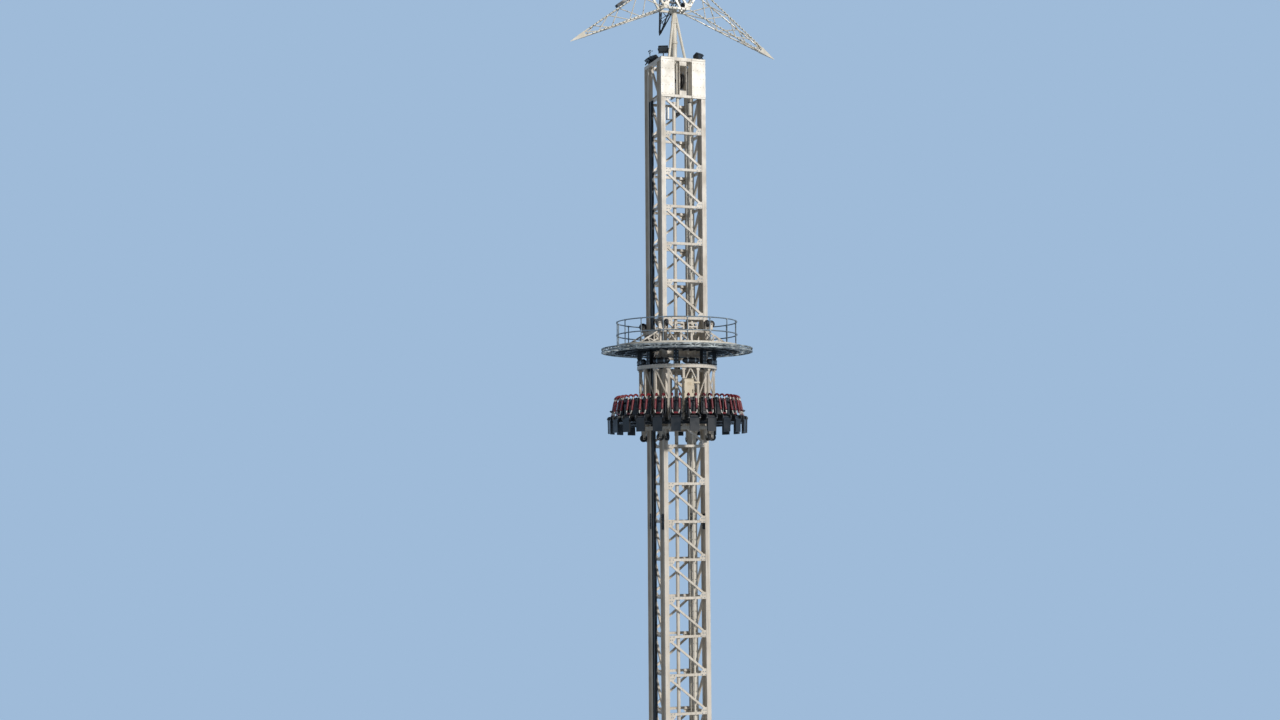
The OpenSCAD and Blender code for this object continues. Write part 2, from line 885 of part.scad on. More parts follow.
// Spokes and a ring beam under the deck, and two open rings outside it, each a pair of chords
module outer_ring() {
    edge_r = rail_r + rail_d;
    rim_r = edge_r + rim_gap + outer_bar;
    panel = 360 / spokes;
    top = spoke_d - joint_gap;
    bar_z = [spoke_low + ring_chord / 2, spoke_low + top - ring_chord / 2];
    chord_r = [rim_r - outer_bar / 2, outer_r - outer_bar / 2];
    function on_ring(r, a, z) = [r * cos(a), r * sin(a), z];
    color(galvanised) {
        translate([0, 0, spoke_low])
            difference() {
                union() {
                    for (r = [outer_r, rim_r, rail_r - 300])
                        rotate_extrude($fn = 96)
                            translate([r - outer_bar, ring_step]) square([outer_bar, top - 2 * ring_step]);
                    for (k = [0 : spokes - 1])
                        rotate([0, 0, (k + 0.5) * panel])
                            translate([guide_out - outer_bar, -spoke_w / 2, 0])
                                cube([outer_r - outer_bar / 2 - guide_out + outer_bar, spoke_w, top]);
                }
                // the square frame stands in the middle, and the spokes end on it
                translate([-guide_out, -guide_out, -1])
                    cube([2 * guide_out, 2 * guide_out, spoke_d + 2]);
                // outside the deck only the chords are left
                translate([0, 0, ring_chord])
                    rotate_extrude($fn = 96)
                        translate([edge_r, 0]) square([outer_r, top - 2 * ring_chord]);
            }
        for (k = [0 : spokes - 1]) {
            a = (k + 0.5) * panel;
            // posts between the chords at each spoke
            rotate([0, 0, a])
                for (r = chord_r)
                    translate([r - 20, -15, spoke_low + 5]) cube([40, 30, top - 10]);
            foot = on_ring(chord_r[1], a, bar_z[0]);
            peak = on_ring(chord_r[1], a + panel / 2, bar_z[1]);
            next_foot = on_ring(chord_r[1], a + panel, bar_z[0]);
            // the zigzag between the outer chords, and a level brace between the two rings
            bar(foot, peak, ring_zigzag, 4);
            bar(next_foot, peak, ring_zigzag, 4);
            bar(on_ring(chord_r[0], a, bar_z[0]), next_foot, ring_zigzag, 4);
        }
    }
}

// Blocks that hang the drum's flange ring from the spokes, and air tanks between them
module hanger_blocks() {
    color(black)
    for (k = [0 : 7])
        rotate([0, 0, 45 * k]) {
            rotate([0, 0, 22.5])
                translate([flange_r - flange_w, -90, flange_top + joint_gap])
                    cube([flange_w - 20, 180, spoke_low - flange_top - 2 * joint_gap]);
            translate([flange_r - flange_w / 2, 0, flange_top + joint_gap])
                air_tank();
        }
}

// A tank with domed ends that lies along y on two saddles
module air_tank() {
    straight = tank_l - tank_d;
    saddle_x = flange_w - 10;
    translate([0, 0, tank_lift + tank_d / 2])
        rotate([90, 0, 0]) {
            cylinder(d = tank_d, h = straight, center = true, $fn = 48);
            for (s = [-1, 1])
                translate([0, 0, s * straight / 2]) sphere(d = tank_d - 10, $fn = 48);
        }
    for (s = [-1, 1])
        translate([-saddle_x / 2, s * straight / 3 - 20, 0])
            cube([saddle_x, 40, tank_lift + tank_d * 0.3]);
}

module flange_ring() {
    color(cream)
    translate([0, 0, flange_low])
        rotate_extrude($fn = 96)
            translate([flange_r - flange_w, 0]) square([flange_w, flange_ring_t]);
}

drum_step = 360 / drum_posts;

module drum_post(k) {
    rotate([0, 0, (k + 0.5) * drum_step - 90])
        translate([post_r - post_w / 2, -post_w / 2, drum_low])
            cube([post_w, post_w, drum_h - joint_gap]);
}

// Posts, rings and braces, and the lower guide frame inside their foot
module drum_frame() {
    arm_w = 60;
    arm_end = sqrt(pow(post_r, 2) - pow(lower_arm_x, 2));
    color(cream) {
        for (k = [0 : drum_posts - 1]) {
            drum_post(k);
            drum_brace(k);
        }
        for (z = [drum_low, drum_low + 500])
            translate([0, 0, z])
                rotate_extrude($fn = 96)
                    translate([post_r - 30, 0]) square([60, 100]);
        translate([0, 0, drum_low])
            square_ring(inner, guide_out, guide_beam_h);
        for (a = [0 : 90 : 270], s = [-1, 1])
            rotate([0, 0, a])
                translate([s * lower_arm_x - arm_w / 2, -arm_end, drum_low + 10])
                    cube([arm_w, arm_end - guide_out + weld, 70]);
    }
}

// The braces between posts k and k + 1: they lean up and away from the front and rear bays,
// which have a short inverted V
module drum_brace(k) {
    brace = 50;
    half_turn = drum_posts / 2;
    a = (k + 0.5) * drum_step - 90;
    b = a + drum_step;
    function on_drum(turn, z) = [post_r * cos(turn), post_r * sin(turn), z];
    mid_z = drum_low + drum_mid;
    top_z = flange_low - 20;
    apex = [post_r * cos(drum_step / 2) * cos(a + drum_step / 2),
            post_r * cos(drum_step / 2) * sin(a + drum_step / 2), flange_low];
    intersection() {
        if (k % half_turn == half_turn - 1) {
            bar(on_drum(a, flange_low - drum_vee), apex, brace, 4);
            bar(on_drum(b, flange_low - drum_vee), apex, brace, 4);
        } else if (k < half_turn) {
            bar(on_drum(a, mid_z), on_drum(b, top_z), brace, 4);
        } else {
            bar(on_drum(b, mid_z), on_drum(a, top_z), brace, 4);
        }
        translate([-2 * post_r, -2 * post_r, 0])
            cube([4 * post_r, 4 * post_r, flange_low - joint_gap]);
    }
}

// The cabinet hangs on two rails across the two front posts
module drum_cabinet() {
    rail_t = 40;
    rail_w = 60;
    front = post_r + post_w / 2;
    reach = front * sin(drum_step / 2) + post_w / 2;
    low = flange_low - 420 - cabinet_h;
    color(cream) {
        translate([-reach - cabinet_shift, -front - rail_t - cabinet_d, low])
            cube([cabinet_w, cabinet_d, cabinet_h]);
        difference() {
            for (z = [low + 80, low + cabinet_h - 80 - rail_w])
                translate([-reach, -front - rail_t - eps, z])
                    cube([2 * reach, rail_t + post_w / 2 + eps, rail_w]);
            drum_post(0);
            drum_post(-1);
        }
    }
}

pan_z = deck_z - pan_drop;
ring_z = pan_z - 150;
seat_root = 130;
ring_in = seat_r - seat_root - 100;

// The beam ring that carries the seats, with a flat for each seat and arms to the drum's posts
module seat_ring() {
    corner = (seat_r - seat_root - joint_gap) / cos(180 / seats);
    color(black) {
        translate([0, 0, ring_z])
            linear_extrude(140)
                difference() {
                    polygon([for (k = [0 : seats - 1])
                        corner * [cos(k * 360 / seats), sin(k * 360 / seats)]]);
                    circle(r = ring_in, $fn = 96);
                }
        for (k = [0 : drum_posts - 1])
            rotate([0, 0, (k + 0.5) * 360 / drum_posts - 90])
                translate([post_r + post_w / 2, -35, ring_z + 20])
                    cube([ring_in - post_r - post_w / 2 + 20, 70, 100]);
    }
}

// A bucket seat: a shell from headrest to calf panel between two bolsters, facing -Y
module seat() {
    back_t = 70;
    shell = [
        [0, back_h], [0, 120], [-60, 40], [-pan_l, 60], [-pan_l - 30, 20],
        [-pan_l - 20, -420], [-pan_l + 40, -420], [-pan_l + 40, -70],
        [seat_root, -70], [seat_root, 60], [back_t, 120], [back_t, back_h]
    ];
    side = [
        [-70, back_h - 60], [-70, 220], [-120, 160], [-pan_l - 10, 140],
        [-pan_l - 30, 20], [-pan_l + 40, -70], [seat_root, -70], [seat_root, 60],
        [back_t, 120], [back_t, back_h - 20]
    ];
    translate([0, -seat_r, pan_z]) {
        seat_profile(shell, seat_w - 2 * bolster_w + 2 * eps, 0);
        for (s = [-1, 1])
            seat_profile(side, bolster_w, s * (seat_w - bolster_w) / 2);
    }
}

// A side view in y and z, extruded w wide about x
module seat_profile(points, w, x) {
    translate([x - w / 2, 0, 0])
        rotate([90, 0, 90])
            linear_extrude(w) polygon(points);
}

module seat_group(first) {
    color(black)
    for (k = [first : first + seats / 4 - 1])
        rotate([0, 0, (k + 0.5) * 360 / seats]) seat();
}

module seats_front() {
    seat_group(-seats / 8);
}

module seats_right() {
    seat_group(seats / 8);
}

module seats_rear() {
    seat_group(seats * 3 / 8);
}

module seats_left() {
    seat_group(seats * 5 / 8);
}

// Over-shoulder harnesses, closed: two curved arms from the seat's top and a lap bar
module harnesses() {
    spread = seat_w / 2 - bolster_w - harness_t / 2 - 10;
    color(maroon)
    for (k = [0 : seats - 1])
        rotate([0, 0, (k + 0.5) * 360 / seats])
            translate([0, -seat_r, pan_z + back_h]) {
                for (s = [-1, 1])
                    translate([s * spread - harness_t / 2, 0, 0])
                        rotate([90, 0, 90])
                            linear_extrude(harness_t) harness_side();
                translate([-spread, -lap_reach, -lap_drop])
                    cube([2 * spread, harness_t, harness_t]);
            }
}

// Side view of a harness arm: an arc over the shoulder and a straight run to the lap
module harness_side() {
    r = shoulder_r;
    t = harness_t;
    back = 60;
    difference() {
        translate([back - r, 0]) circle(r = r, $fn = 48);
        translate([back - r, 0]) circle(r = r - t, $fn = 48);
        translate([-2 * r, -2 * r]) square([4 * r, 2 * r]);
    }
    polygon([
        [back - 2 * r, eps], [back - 2 * r + t, eps],
        [t - lap_reach, -lap_drop], [-lap_reach, -lap_drop]
    ]);
}

base_frame();
translate([-col_x, -col_y, 0]) column();  // column_front_left
translate([col_x, -col_y, 0]) column();  // column_front_right
translate([-col_x, col_y, 0]) column();  // column_rear_left
translate([col_x, col_y, 0]) column();  // column_rear_right
lattice_front();
lattice_rear();
lattice_left();
lattice_right();
column_splices();
lift_tube_large();
lift_tube_small();
ladder();
cable_duct();
head_plate_left();
head_plate_right();
head_beams();
sheave_frame();
head_sheaves();
floodlights();
wind_mast();
star_pole();
star_hub();
star_arm_left();
star_arm_right();
star_arm_upper_left();
star_arm_upper_right();
star_arm_top();
star_arm_rear();
guide_frame();
guide_rollers();
frame_struts();
deck();
deck_railing();
outer_ring();
hanger_blocks();
flange_ring();
drum_frame();
drum_cabinet();
seat_ring();
seats_front();
seats_left();
seats_rear();
seats_right();
harnesses();
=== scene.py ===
"""Drop tower ride: paint, fittings, lamps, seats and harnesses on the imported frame."""

import math

import bmesh
import bpy
from mathutils import Matrix, Vector


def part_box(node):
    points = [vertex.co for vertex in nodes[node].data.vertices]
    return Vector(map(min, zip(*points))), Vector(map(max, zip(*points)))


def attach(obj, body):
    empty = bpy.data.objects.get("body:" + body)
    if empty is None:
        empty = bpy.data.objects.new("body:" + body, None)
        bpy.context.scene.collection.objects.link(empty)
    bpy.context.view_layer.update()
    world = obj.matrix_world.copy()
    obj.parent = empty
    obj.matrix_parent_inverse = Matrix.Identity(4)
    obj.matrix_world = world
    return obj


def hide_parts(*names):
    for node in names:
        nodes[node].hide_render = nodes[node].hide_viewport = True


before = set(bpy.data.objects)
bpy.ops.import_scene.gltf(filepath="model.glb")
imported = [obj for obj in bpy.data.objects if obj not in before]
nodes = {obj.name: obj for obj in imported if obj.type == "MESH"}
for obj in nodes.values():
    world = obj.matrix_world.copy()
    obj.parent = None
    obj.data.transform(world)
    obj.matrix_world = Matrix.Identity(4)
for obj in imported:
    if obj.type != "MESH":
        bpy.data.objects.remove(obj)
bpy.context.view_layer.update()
scene = bpy.context.scene
scene.view_settings.view_transform = "Standard"


# Camera, sun and ground. The ride is seen from a terrace in front of its left corner, with open sky
# behind it. A low warm sun stands to the right of the camera, so the left faces are in shade.

CAMERA_PLACE = (-21.726, -55.884, 15.931)
CAMERA_RIGHT = (0.93995, -0.34126, -0.00663)
CAMERA_UP = (-0.02078, -0.07661, 0.99684)
SKY = "#9FBBD9"
PAVING = "#C9C6BE"
PAVING_DARK = "#BDBAB2"
PAVING_CLEAR = 14.0
PAVING_R = 40.0


def linear(colour):
    """Linear RGBA of an sRGB hex colour."""
    parts = [int(colour[i:i + 2], 16) / 255 for i in (1, 3, 5)]
    return [p / 12.92 if p <= 0.04045 else ((p + 0.055) / 1.055) ** 2.4 for p in parts] + [1.0]


def add_node(tree, kind, settings=None, links=None):
    """Adds a shader node: settings go to its own fields or its sockets, links come into its sockets."""
    made = tree.nodes.new("ShaderNode" + kind)
    for key, value in (settings or {}).items():
        if isinstance(key, str) and hasattr(made, key):
            setattr(made, key, value)
        else:
            made.inputs[key].default_value = value
    for key, socket in (links or {}).items():
        tree.links.new(socket, made.inputs[key])
    return made


right = Vector(CAMERA_RIGHT).normalized()
up = (Vector(CAMERA_UP) - right * right.dot(Vector(CAMERA_UP))).normalized()
back = right.cross(up)
bpy.ops.object.camera_add()
camera = bpy.context.object
camera.matrix_world = Matrix.Translation(CAMERA_PLACE) @ Matrix((right, up, back)).transposed().to_4x4()
camera.data.lens = 47.39
camera.data.clip_end = 400
scene.camera = camera

bpy.ops.object.light_add(type="SUN", rotation=(math.radians(69), 0, math.radians(18)))
sun = bpy.context.object
sun.data.energy = 2.5
sun.data.angle = math.radians(4)
sun.data.color = (1.0, 0.965, 0.91)

world = bpy.data.worlds.new("open_sky")
scene.world = world
world.use_nodes = True
world.node_tree.nodes.clear()
ray = add_node(world.node_tree, "LightPath")
seen = add_node(world.node_tree, "Math", {"operation": "MAXIMUM"},
                {0: ray.outputs["Is Camera Ray"], 1: ray.outputs["Is Glossy Ray"]})
seen = add_node(world.node_tree, "Math", {"operation": "MAXIMUM"},
                {0: seen.outputs[0], 1: ray.outputs["Is Transmission Ray"]})
backdrop = add_node(world.node_tree, "Background", {"Color": linear(SKY), "Strength": 1.0})
fill = add_node(world.node_tree, "Background", {"Color": (0.90, 0.95, 1.0, 1.0), "Strength": 0.20})
sky = add_node(world.node_tree, "MixShader", None,
               {0: seen.outputs[0], 1: fill.outputs[0], 2: backdrop.outputs[0]})
add_node(world.node_tree, "OutputWorld", None, {"Surface": sky.outputs[0]})

# The ground is pale paving that fades into the sky's colour.
paving = bpy.data.materials.new("pale_paving")
paving.use_nodes = True
tree = paving.node_tree
tree.nodes.clear()
place = add_node(tree, "TexCoord")
reach = add_node(tree, "VectorMath", {"operation": "LENGTH"}, {0: place.outputs["Object"]})
far = add_node(tree, "MapRange", {"From Min": PAVING_CLEAR, "From Max": PAVING_R - 2,
                                  "interpolation_type": "SMOOTHSTEP"}, {"Value": reach.outputs["Value"]})
stone = add_node(tree, "TexNoise", {"Scale": 0.6, "Detail": 6.0}, {"Vector": place.outputs["Object"]})
tint = add_node(tree, "Mix", {"data_type": "RGBA", 6: linear(PAVING), 7: linear(PAVING_DARK)},
                {0: stone.outputs[0]})
lit = add_node(tree, "BsdfPrincipled", {"Roughness": 0.9}, {"Base Color": tint.outputs[2]})
haze = add_node(tree, "Emission", {"Color": linear(SKY), "Strength": 1.0})
ground = add_node(tree, "MixShader", None, {0: far.outputs[0], 1: lit.outputs[0], 2: haze.outputs[0]})
add_node(tree, "OutputMaterial", None, {"Surface": ground.outputs[0]})
bpy.ops.mesh.primitive_circle_add(vertices=128, radius=PAVING_R, fill_type="NGON", location=(0, 0, -0.002))
floor = bpy.context.object
floor.name = "ground"
floor.data.materials.append(paving)


# The four columns and the lattice between them: I-sections and welded braces, blasted and painted in
# one cream gloss. Rain has run down the faces for years and left grey streaks down them.

CREAM = "#E2DACE"
CREAM_WORN = "#CEC5B8"
STREAK = "#8F867A"
RUST = "#8A5A3A"


def finish_node(name, material):
    """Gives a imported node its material."""
    nodes[name].data.materials.clear()
    nodes[name].data.materials.append(material)


def new_material(name, roughness, metallic=0.0):
    """A material with an empty principled shader: returns it, its tree, its shader and object places."""
    material = bpy.data.materials.new(name)
    material.use_nodes = True
    tree = material.node_tree
    tree.nodes.clear()
    shader = add_node(tree, "BsdfPrincipled", {"Roughness": roughness, "Metallic": metallic, "IOR": 1.5})
    add_node(tree, "OutputMaterial", None, {"Surface": shader.outputs[0]})
    return material, tree, shader, add_node(tree, "TexCoord").outputs["Object"]


def link_finish(tree, shader, colour, rough, bump):
    """Links a material's colour, roughness and bump into its shader."""
    finish = {"Base Color": colour.outputs[2], "Roughness": rough.outputs[0], "Normal": bump.outputs[0]}
    for socket, source in finish.items():
        tree.links.new(source, shader.inputs[socket])


def weathered_paint(name, fresh, worn, gloss, dirt):
    """Sprayed gloss paint on steel: cloudy colour, rain streaks, small rust spots and orange peel."""
    material, tree, shader, place = new_material(name, gloss)
    cloud = add_node(tree, "TexNoise", {"Scale": 1.1, "Detail": 5.0, "Roughness": 0.6}, {"Vector": place})
    cloud = add_node(tree, "MapRange", {"From Min": 0.38, "From Max": 0.66}, {"Value": cloud.outputs[0]})
    base = add_node(tree, "Mix", {"data_type": "RGBA", 6: linear(fresh), 7: linear(worn)},
                    {0: cloud.outputs[0]})
    # streaks 20 to 40 mm wide, drawn out along the height
    drawn = add_node(tree, "Mapping", {"Scale": (1.0, 1.0, 0.045)}, {"Vector": place})
    rain = add_node(tree, "TexNoise", {"Scale": 17.0, "Detail": 4.0, "Roughness": 0.55},
                    {"Vector": drawn.outputs[0]})
    rain = add_node(tree, "MapRange", {"From Min": 0.5, "From Max": 0.78, "To Max": dirt},
                    {"Value": rain.outputs[0]})
    base = add_node(tree, "Mix", {"data_type": "RGBA", 7: linear(STREAK)},
                    {0: rain.outputs[0], 6: base.outputs[2]})
    # rust spots of 10 to 30 mm where the paint is chipped
    spot = add_node(tree, "TexNoise", {"Scale": 23.0, "Detail": 3.0}, {"Vector": place})
    spot = add_node(tree, "MapRange", {"From Min": 0.715, "From Max": 0.735, "To Max": 0.75},
                    {"Value": spot.outputs[0]})
    base = add_node(tree, "Mix", {"data_type": "RGBA", 7: linear(RUST)},
                    {0: spot.outputs[0], 6: base.outputs[2]})
    rough = add_node(tree, "MapRange", {"To Min": gloss - 0.08, "To Max": gloss + 0.25},
                     {"Value": cloud.outputs[0]})
    # orange peel is 2 mm across, drawn at 12 mm so that it shows
    peel = add_node(tree, "TexNoise", {"Scale": 85.0, "Detail": 2.0}, {"Vector": place})
    peel = add_node(tree, "Bump", {"Strength": 0.18, "Distance": 0.004}, {"Height": peel.outputs[0]})
    link_finish(tree, shader, base, rough, peel)
    return material


cream_paint = weathered_paint("cream_gloss_paint", CREAM, CREAM_WORN, 0.38, 0.55)
for name in ("column_front_left", "column_front_right", "column_rear_left", "column_rear_right",
             "lattice_front", "lattice_rear", "lattice_left", "lattice_right"):
    finish_node(name, cream_paint)


# Gusset plates at the lattice's corners, each with four bolts. A plate is cut from 8 mm sheet and
# lies on the braces, close beside the column's flange.

FACE_Y = 0.828
SIDE_X = 0.790
FLANGE_IN_X = 0.690
FLANGE_IN_Y = 0.420
ROW_0 = 0.370
BAY = 1.325
LOWER_BAYS = 15
UPPER_BAYS = 7
UPPER_0 = 20.775
GUSSET_T = 0.008


def start_block(name, low, high):
    """A cube primitive drawn out between two corners, alone selected."""
    bpy.ops.object.select_all(action="DESELECT")
    low, high = Vector(low), Vector(high)
    bpy.ops.mesh.primitive_cube_add(size=1, location=(low + high) / 2)
    block = bpy.context.object
    block.name = name
    block.scale = high - low
    bpy.ops.object.transform_apply(location=True, rotation=True, scale=True)
    return block


def start_rod(name, start, end, radius, sides=12, tip=None):
    """A cylinder primitive, or a cone if its tip has another radius, between two points."""
    bpy.ops.object.select_all(action="DESELECT")
    start, end = Vector(start), Vector(end)
    run = end - start
    bpy.ops.mesh.primitive_cone_add(vertices=sides, radius1=radius, radius2=radius if tip is None else tip,
                                    depth=run.length, location=(start + end) / 2,
                                    rotation=run.to_track_quat("Z", "Y").to_euler())
    rod = bpy.context.object
    rod.name = name
    bpy.ops.object.transform_apply(location=True, rotation=True, scale=True)
    return rod


def pick_faces(piece, test):
    """Edit mode with some faces selected: by a test of middle and normal, or by sides as in "+z -z"."""
    def on_sides(middle, normal):
        return any(normal["xyz".index(side[1])] * float(side[0] + "1") > 0.9 for side in test.split())

    wanted = on_sides if isinstance(test, str) else test
    bpy.context.view_layer.objects.active = piece
    bpy.ops.object.mode_set(mode="EDIT")
    bpy.ops.mesh.select_mode(type="FACE")
    bpy.ops.mesh.select_all(action="DESELECT")
    shape = bmesh.from_edit_mesh(piece.data)
    for face in shape.faces:
        face.select_set(wanted(face.calc_center_median(), face.normal))
    bmesh.update_edit_mesh(piece.data)


def close_edit():
    """Leaves edit mode."""
    bpy.ops.object.mode_set(mode="OBJECT")


def press(piece, test, inset, move):
    """Insets the faces that pass the test and moves them: a raised or sunk panel with a sloping rim."""
    pick_faces(piece, test)
    bpy.ops.mesh.inset(thickness=inset)
    bpy.ops.transform.translate(value=move)
    close_edit()


def cut(piece, place, outwards):
    """Cuts off what lies outwards of a plane and closes the cut."""
    bpy.context.view_layer.objects.active = piece
    bpy.ops.object.mode_set(mode="EDIT")
    bpy.ops.mesh.select_all(action="SELECT")
    bpy.ops.mesh.bisect(plane_co=place, plane_no=outwards, use_fill=True, clear_outer=True)
    close_edit()


def apply_modifier(piece, kind, **settings):
    """Adds a modifier with its settings and applies it."""
    modifier = piece.modifiers.new(kind.lower(), kind)
    for key, value in settings.items():
        setattr(modifier, key, value)
    bpy.context.view_layer.objects.active = piece
    bpy.ops.object.modifier_apply(modifier=modifier.name)


def soften(piece, width, segments=1):
    """Rounds the piece's edges."""
    apply_modifier(piece, "BEVEL", width=width, segments=segments, limit_method="ANGLE", angle_limit=0.6)


def copy_to(piece, places):
    """The piece at each of the places, all in one mesh in its stead."""
    whole = bmesh.new()
    for place in places:
        one = piece.data.copy()
        one.transform(place)
        whole.from_mesh(one)
        bpy.data.meshes.remove(one)
    whole.to_mesh(piece.data)
    whole.free()
    return piece


def join(name, pieces):
    """Joins pieces into one."""
    bpy.ops.object.select_all(action="DESELECT")
    for piece in pieces:
        piece.select_set(True)
    bpy.context.view_layer.objects.active = pieces[0]
    bpy.ops.object.join()
    whole = bpy.context.object
    whole.name = name
    return whole


def fit(piece, body, material):
    """Gives the piece its finish and lets it move with a body."""
    piece.data.materials.clear()
    piece.data.materials.append(material)
    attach(piece, body)
    return piece


def moved(x, y, z):
    """The place of a copy that is moved."""
    return Matrix.Translation((x, y, z))


def turned(degrees, axis="Z"):
    """The place of a copy that is turned about an axis through the origin."""
    return Matrix.Rotation(math.radians(degrees), 4, axis)


def at(place, outwards, turn=0.0):
    """The place of a copy whose own Z points outwards, turned about it by degrees."""
    return moved(*place) @ Vector(outwards).to_track_quat("Z", "Y").to_matrix().to_4x4() @ turned(turn)


lower_rows = [ROW_0 + k * BAY for k in range(LOWER_BAYS + 1)]
upper_rows = [UPPER_0 + k * BAY for k in range(UPPER_BAYS + 1)]
faces = [  # right, outwards, distance of the face, distance of the flanges' inner edges
    (Vector((1, 0, 0)), Vector((0, -1, 0)), FACE_Y, FLANGE_IN_X),
    (Vector((-1, 0, 0)), Vector((0, 1, 0)), FACE_Y, FLANGE_IN_X),
    (Vector((0, -1, 0)), Vector((-1, 0, 0)), SIDE_X, FLANGE_IN_Y),
    (Vector((0, 1, 0)), Vector((1, 0, 0)), SIDE_X, FLANGE_IN_Y),
]


def on_face(face, across, height, turn=0.0):
    """The place of a copy on one face of the mast: its X across the face, its Y up, its Z outwards."""
    to_right, outwards, distance = face[:3]
    axes = Matrix((to_right, Vector((0, 0, 1)), outwards)).transposed().to_4x4()
    return moved(*(to_right * across + outwards * distance + Vector((0, 0, height)))) @ axes @ turned(turn)


def hex_bolt(name, across, height):
    """A hexagon bolt head with a chamfered top, standing at the origin."""
    head = start_rod(name, (0, 0, 0), (0, 0, height), across / math.sqrt(3), sides=6)
    pick_faces(head, "+z")
    bpy.ops.mesh.inset(thickness=across * 0.09)
    bpy.ops.transform.translate(value=(0, 0, height * 0.16))
    pick_faces(head, "-z")
    bpy.ops.mesh.delete(type="FACE")
    close_edit()
    return head


gusset = start_block("gusset_plates", (-0.22, -0.045, 0), (0, 0.20, GUSSET_T))
cut(gusset, (-0.22, 0.09, 0), (-0.75, 0.66, 0))
soften(gusset, 0.003)
bolt = hex_bolt("gusset_bolts", 0.032, 0.016)
copy_to(bolt, [moved(x, y, GUSSET_T) for x, y in
               ((-0.045, -0.005), (-0.165, -0.005), (-0.045, 0.10), (-0.12, 0.10))])
corners = []
for face in faces:
    for z in lower_rows[:-1] + upper_rows[:-1]:
        corners += [on_face(face, face[3], z), on_face(face, -face[3], z + BAY, 180)]
copy_to(gusset, corners)
copy_to(bolt, corners)
fit(gusset, "tower", cream_paint)


# Joints of the mast's sections: plates and high-strength bolts under grey primer, across the columns'
# webs. The gussets' bolts are hot-dip galvanised, dull grey.

COLUMN_X = 0.770
COLUMN_Y = 0.635
WEB_OUT = 0.023
# height of each joint, then its bolts' places along the column's web and up from the joint
SPLICES = ((20.510, (-0.12, -0.04, 0.04, 0.12), (-0.17, -0.11, -0.05, 0.05, 0.11, 0.17)),
           (14.945, (-0.13, -0.05, 0.03), (-0.23, -0.15, -0.07, 0.07, 0.15, 0.23)))
CORNERS = ((-1, -1), (-1, 1), (1, -1), (1, 1))


def metal(name, light, dark, roughness, metallic, grain, depth):
    """Weathered bare metal: two tones in cells of a given size per metre, uneven gloss, low bump."""
    material, tree, shader, place = new_material(name, roughness, metallic)
    cell = add_node(tree, "TexVoronoi", {"Scale": grain}, {"Vector": place})
    cloud = add_node(tree, "TexNoise", {"Scale": 2.3, "Detail": 6.0, "Roughness": 0.65}, {"Vector": place})
    tone = add_node(tree, "Math", {"operation": "MULTIPLY_ADD", 1: 0.35},
                    {0: cell.outputs["Color"], 2: cloud.outputs[0]})
    tone = add_node(tree, "MapRange", {"From Min": 0.45, "From Max": 0.85}, {"Value": tone.outputs[0]})
    base = add_node(tree, "Mix", {"data_type": "RGBA", 6: linear(dark), 7: linear(light)},
                    {0: tone.outputs[0]})
    rough = add_node(tree, "MapRange", {"To Min": roughness + 0.14, "To Max": roughness - 0.08},
                     {"Value": tone.outputs[0]})
    lumps = add_node(tree, "TexNoise", {"Scale": grain * 1.7, "Detail": 3.0}, {"Vector": place})
    lumps = add_node(tree, "Bump", {"Strength": 0.3, "Distance": depth}, {"Height": lumps.outputs[0]})
    link_finish(tree, shader, base, rough, lumps)
    return material


# zinc spangles are 10 to 30 mm across
galvanised = metal("galvanised_steel", "#A3ADB4", "#7C8790", 0.5, 0.55, 40.0, 0.002)
fit(bolt, "tower", galvanised)
# rolled plate under dark grey primer, with rust in its pores
dark_steel = metal("grey_primed_steel", "#4A4C4F", "#33302F", 0.55, 0.15, 60.0, 0.003)
finish_node("column_splices", dark_steel)

splice_bolt = hex_bolt("splice_bolts", 0.046, 0.026)
places = [at((sx * COLUMN_X + side * WEB_OUT, sy * (COLUMN_Y + y), joint + z), (side, 0, 0))
          for joint, rows_y, rows_z in SPLICES for sx, sy in CORNERS for side in (-1, 1)
          for y in rows_y for z in rows_z]
fit(copy_to(splice_bolt, places), "tower", dark_steel)


# Base frame: welded box beams under the columns, primed grey, with stiffener ribs. It is anchored at
# four corner plates by galvanised cast-in studs.

FOOT_X = 1.180
FOOT_Y = 1.045
ANCHOR = 0.210
FOOT_T = 0.040
BASE_TOP = 0.290

finish_node("base_frame", dark_steel)
washer = start_rod("anchor_washers", (0, 0, 0), (0, 0, 0.008), 0.042, sides=20)
soften(washer, 0.002)
nut = hex_bolt("anchor_nuts", 0.050, 0.028)
copy_to(nut, [moved(0, 0, 0.008), moved(0, 0, 0.036)])
stud = start_rod("anchor_studs", (0, 0, -0.036), (0, 0, 0.110), 0.0150, sides=14)
soften(stud, 0.003)
anchors = join("anchor_bolts", [nut, washer, stud])
feet = [moved(sx * FOOT_X + ax * ANCHOR, sy * FOOT_Y + ay * ANCHOR, FOOT_T)
        for sx, sy in CORNERS for ax, ay in CORNERS]
fit(copy_to(anchors, feet), "tower", galvanised)

foot_bolt = hex_bolt("column_foot_bolts", 0.050, 0.030)
feet = [moved(sx * COLUMN_X + x, sy * COLUMN_Y + y, BASE_TOP)
        for sx, sy in CORNERS for x in (-0.048, 0.048) for y in (-0.15, -0.05, 0.05, 0.15)]
fit(copy_to(foot_bolt, feet), "tower", galvanised)

# stiffener plates between the base beams' webs and the foot plates
rib = start_block("foot_ribs", (-0.008, 0, 0), (0.008, 0.30, 0.20))
cut(rib, (0, 0.05, 0.20), (0, 0.62, 0.78))
ribs = []
for sx, sy in CORNERS:
    ribs += [moved(sx * FOOT_X, sy * (COLUMN_Y + 0.130), FOOT_T) @ turned(0 if sy > 0 else 180),
             moved(sx * (COLUMN_X + 0.130), sy * FOOT_Y, FOOT_T) @ turned(-90 * sx)]
fit(copy_to(rib, ribs), "tower", dark_steel)


# Lift tubes: two seamless painted tubes behind the front face, one thick and one thin. Strap irons
# on saddles clamp them at every second brace.

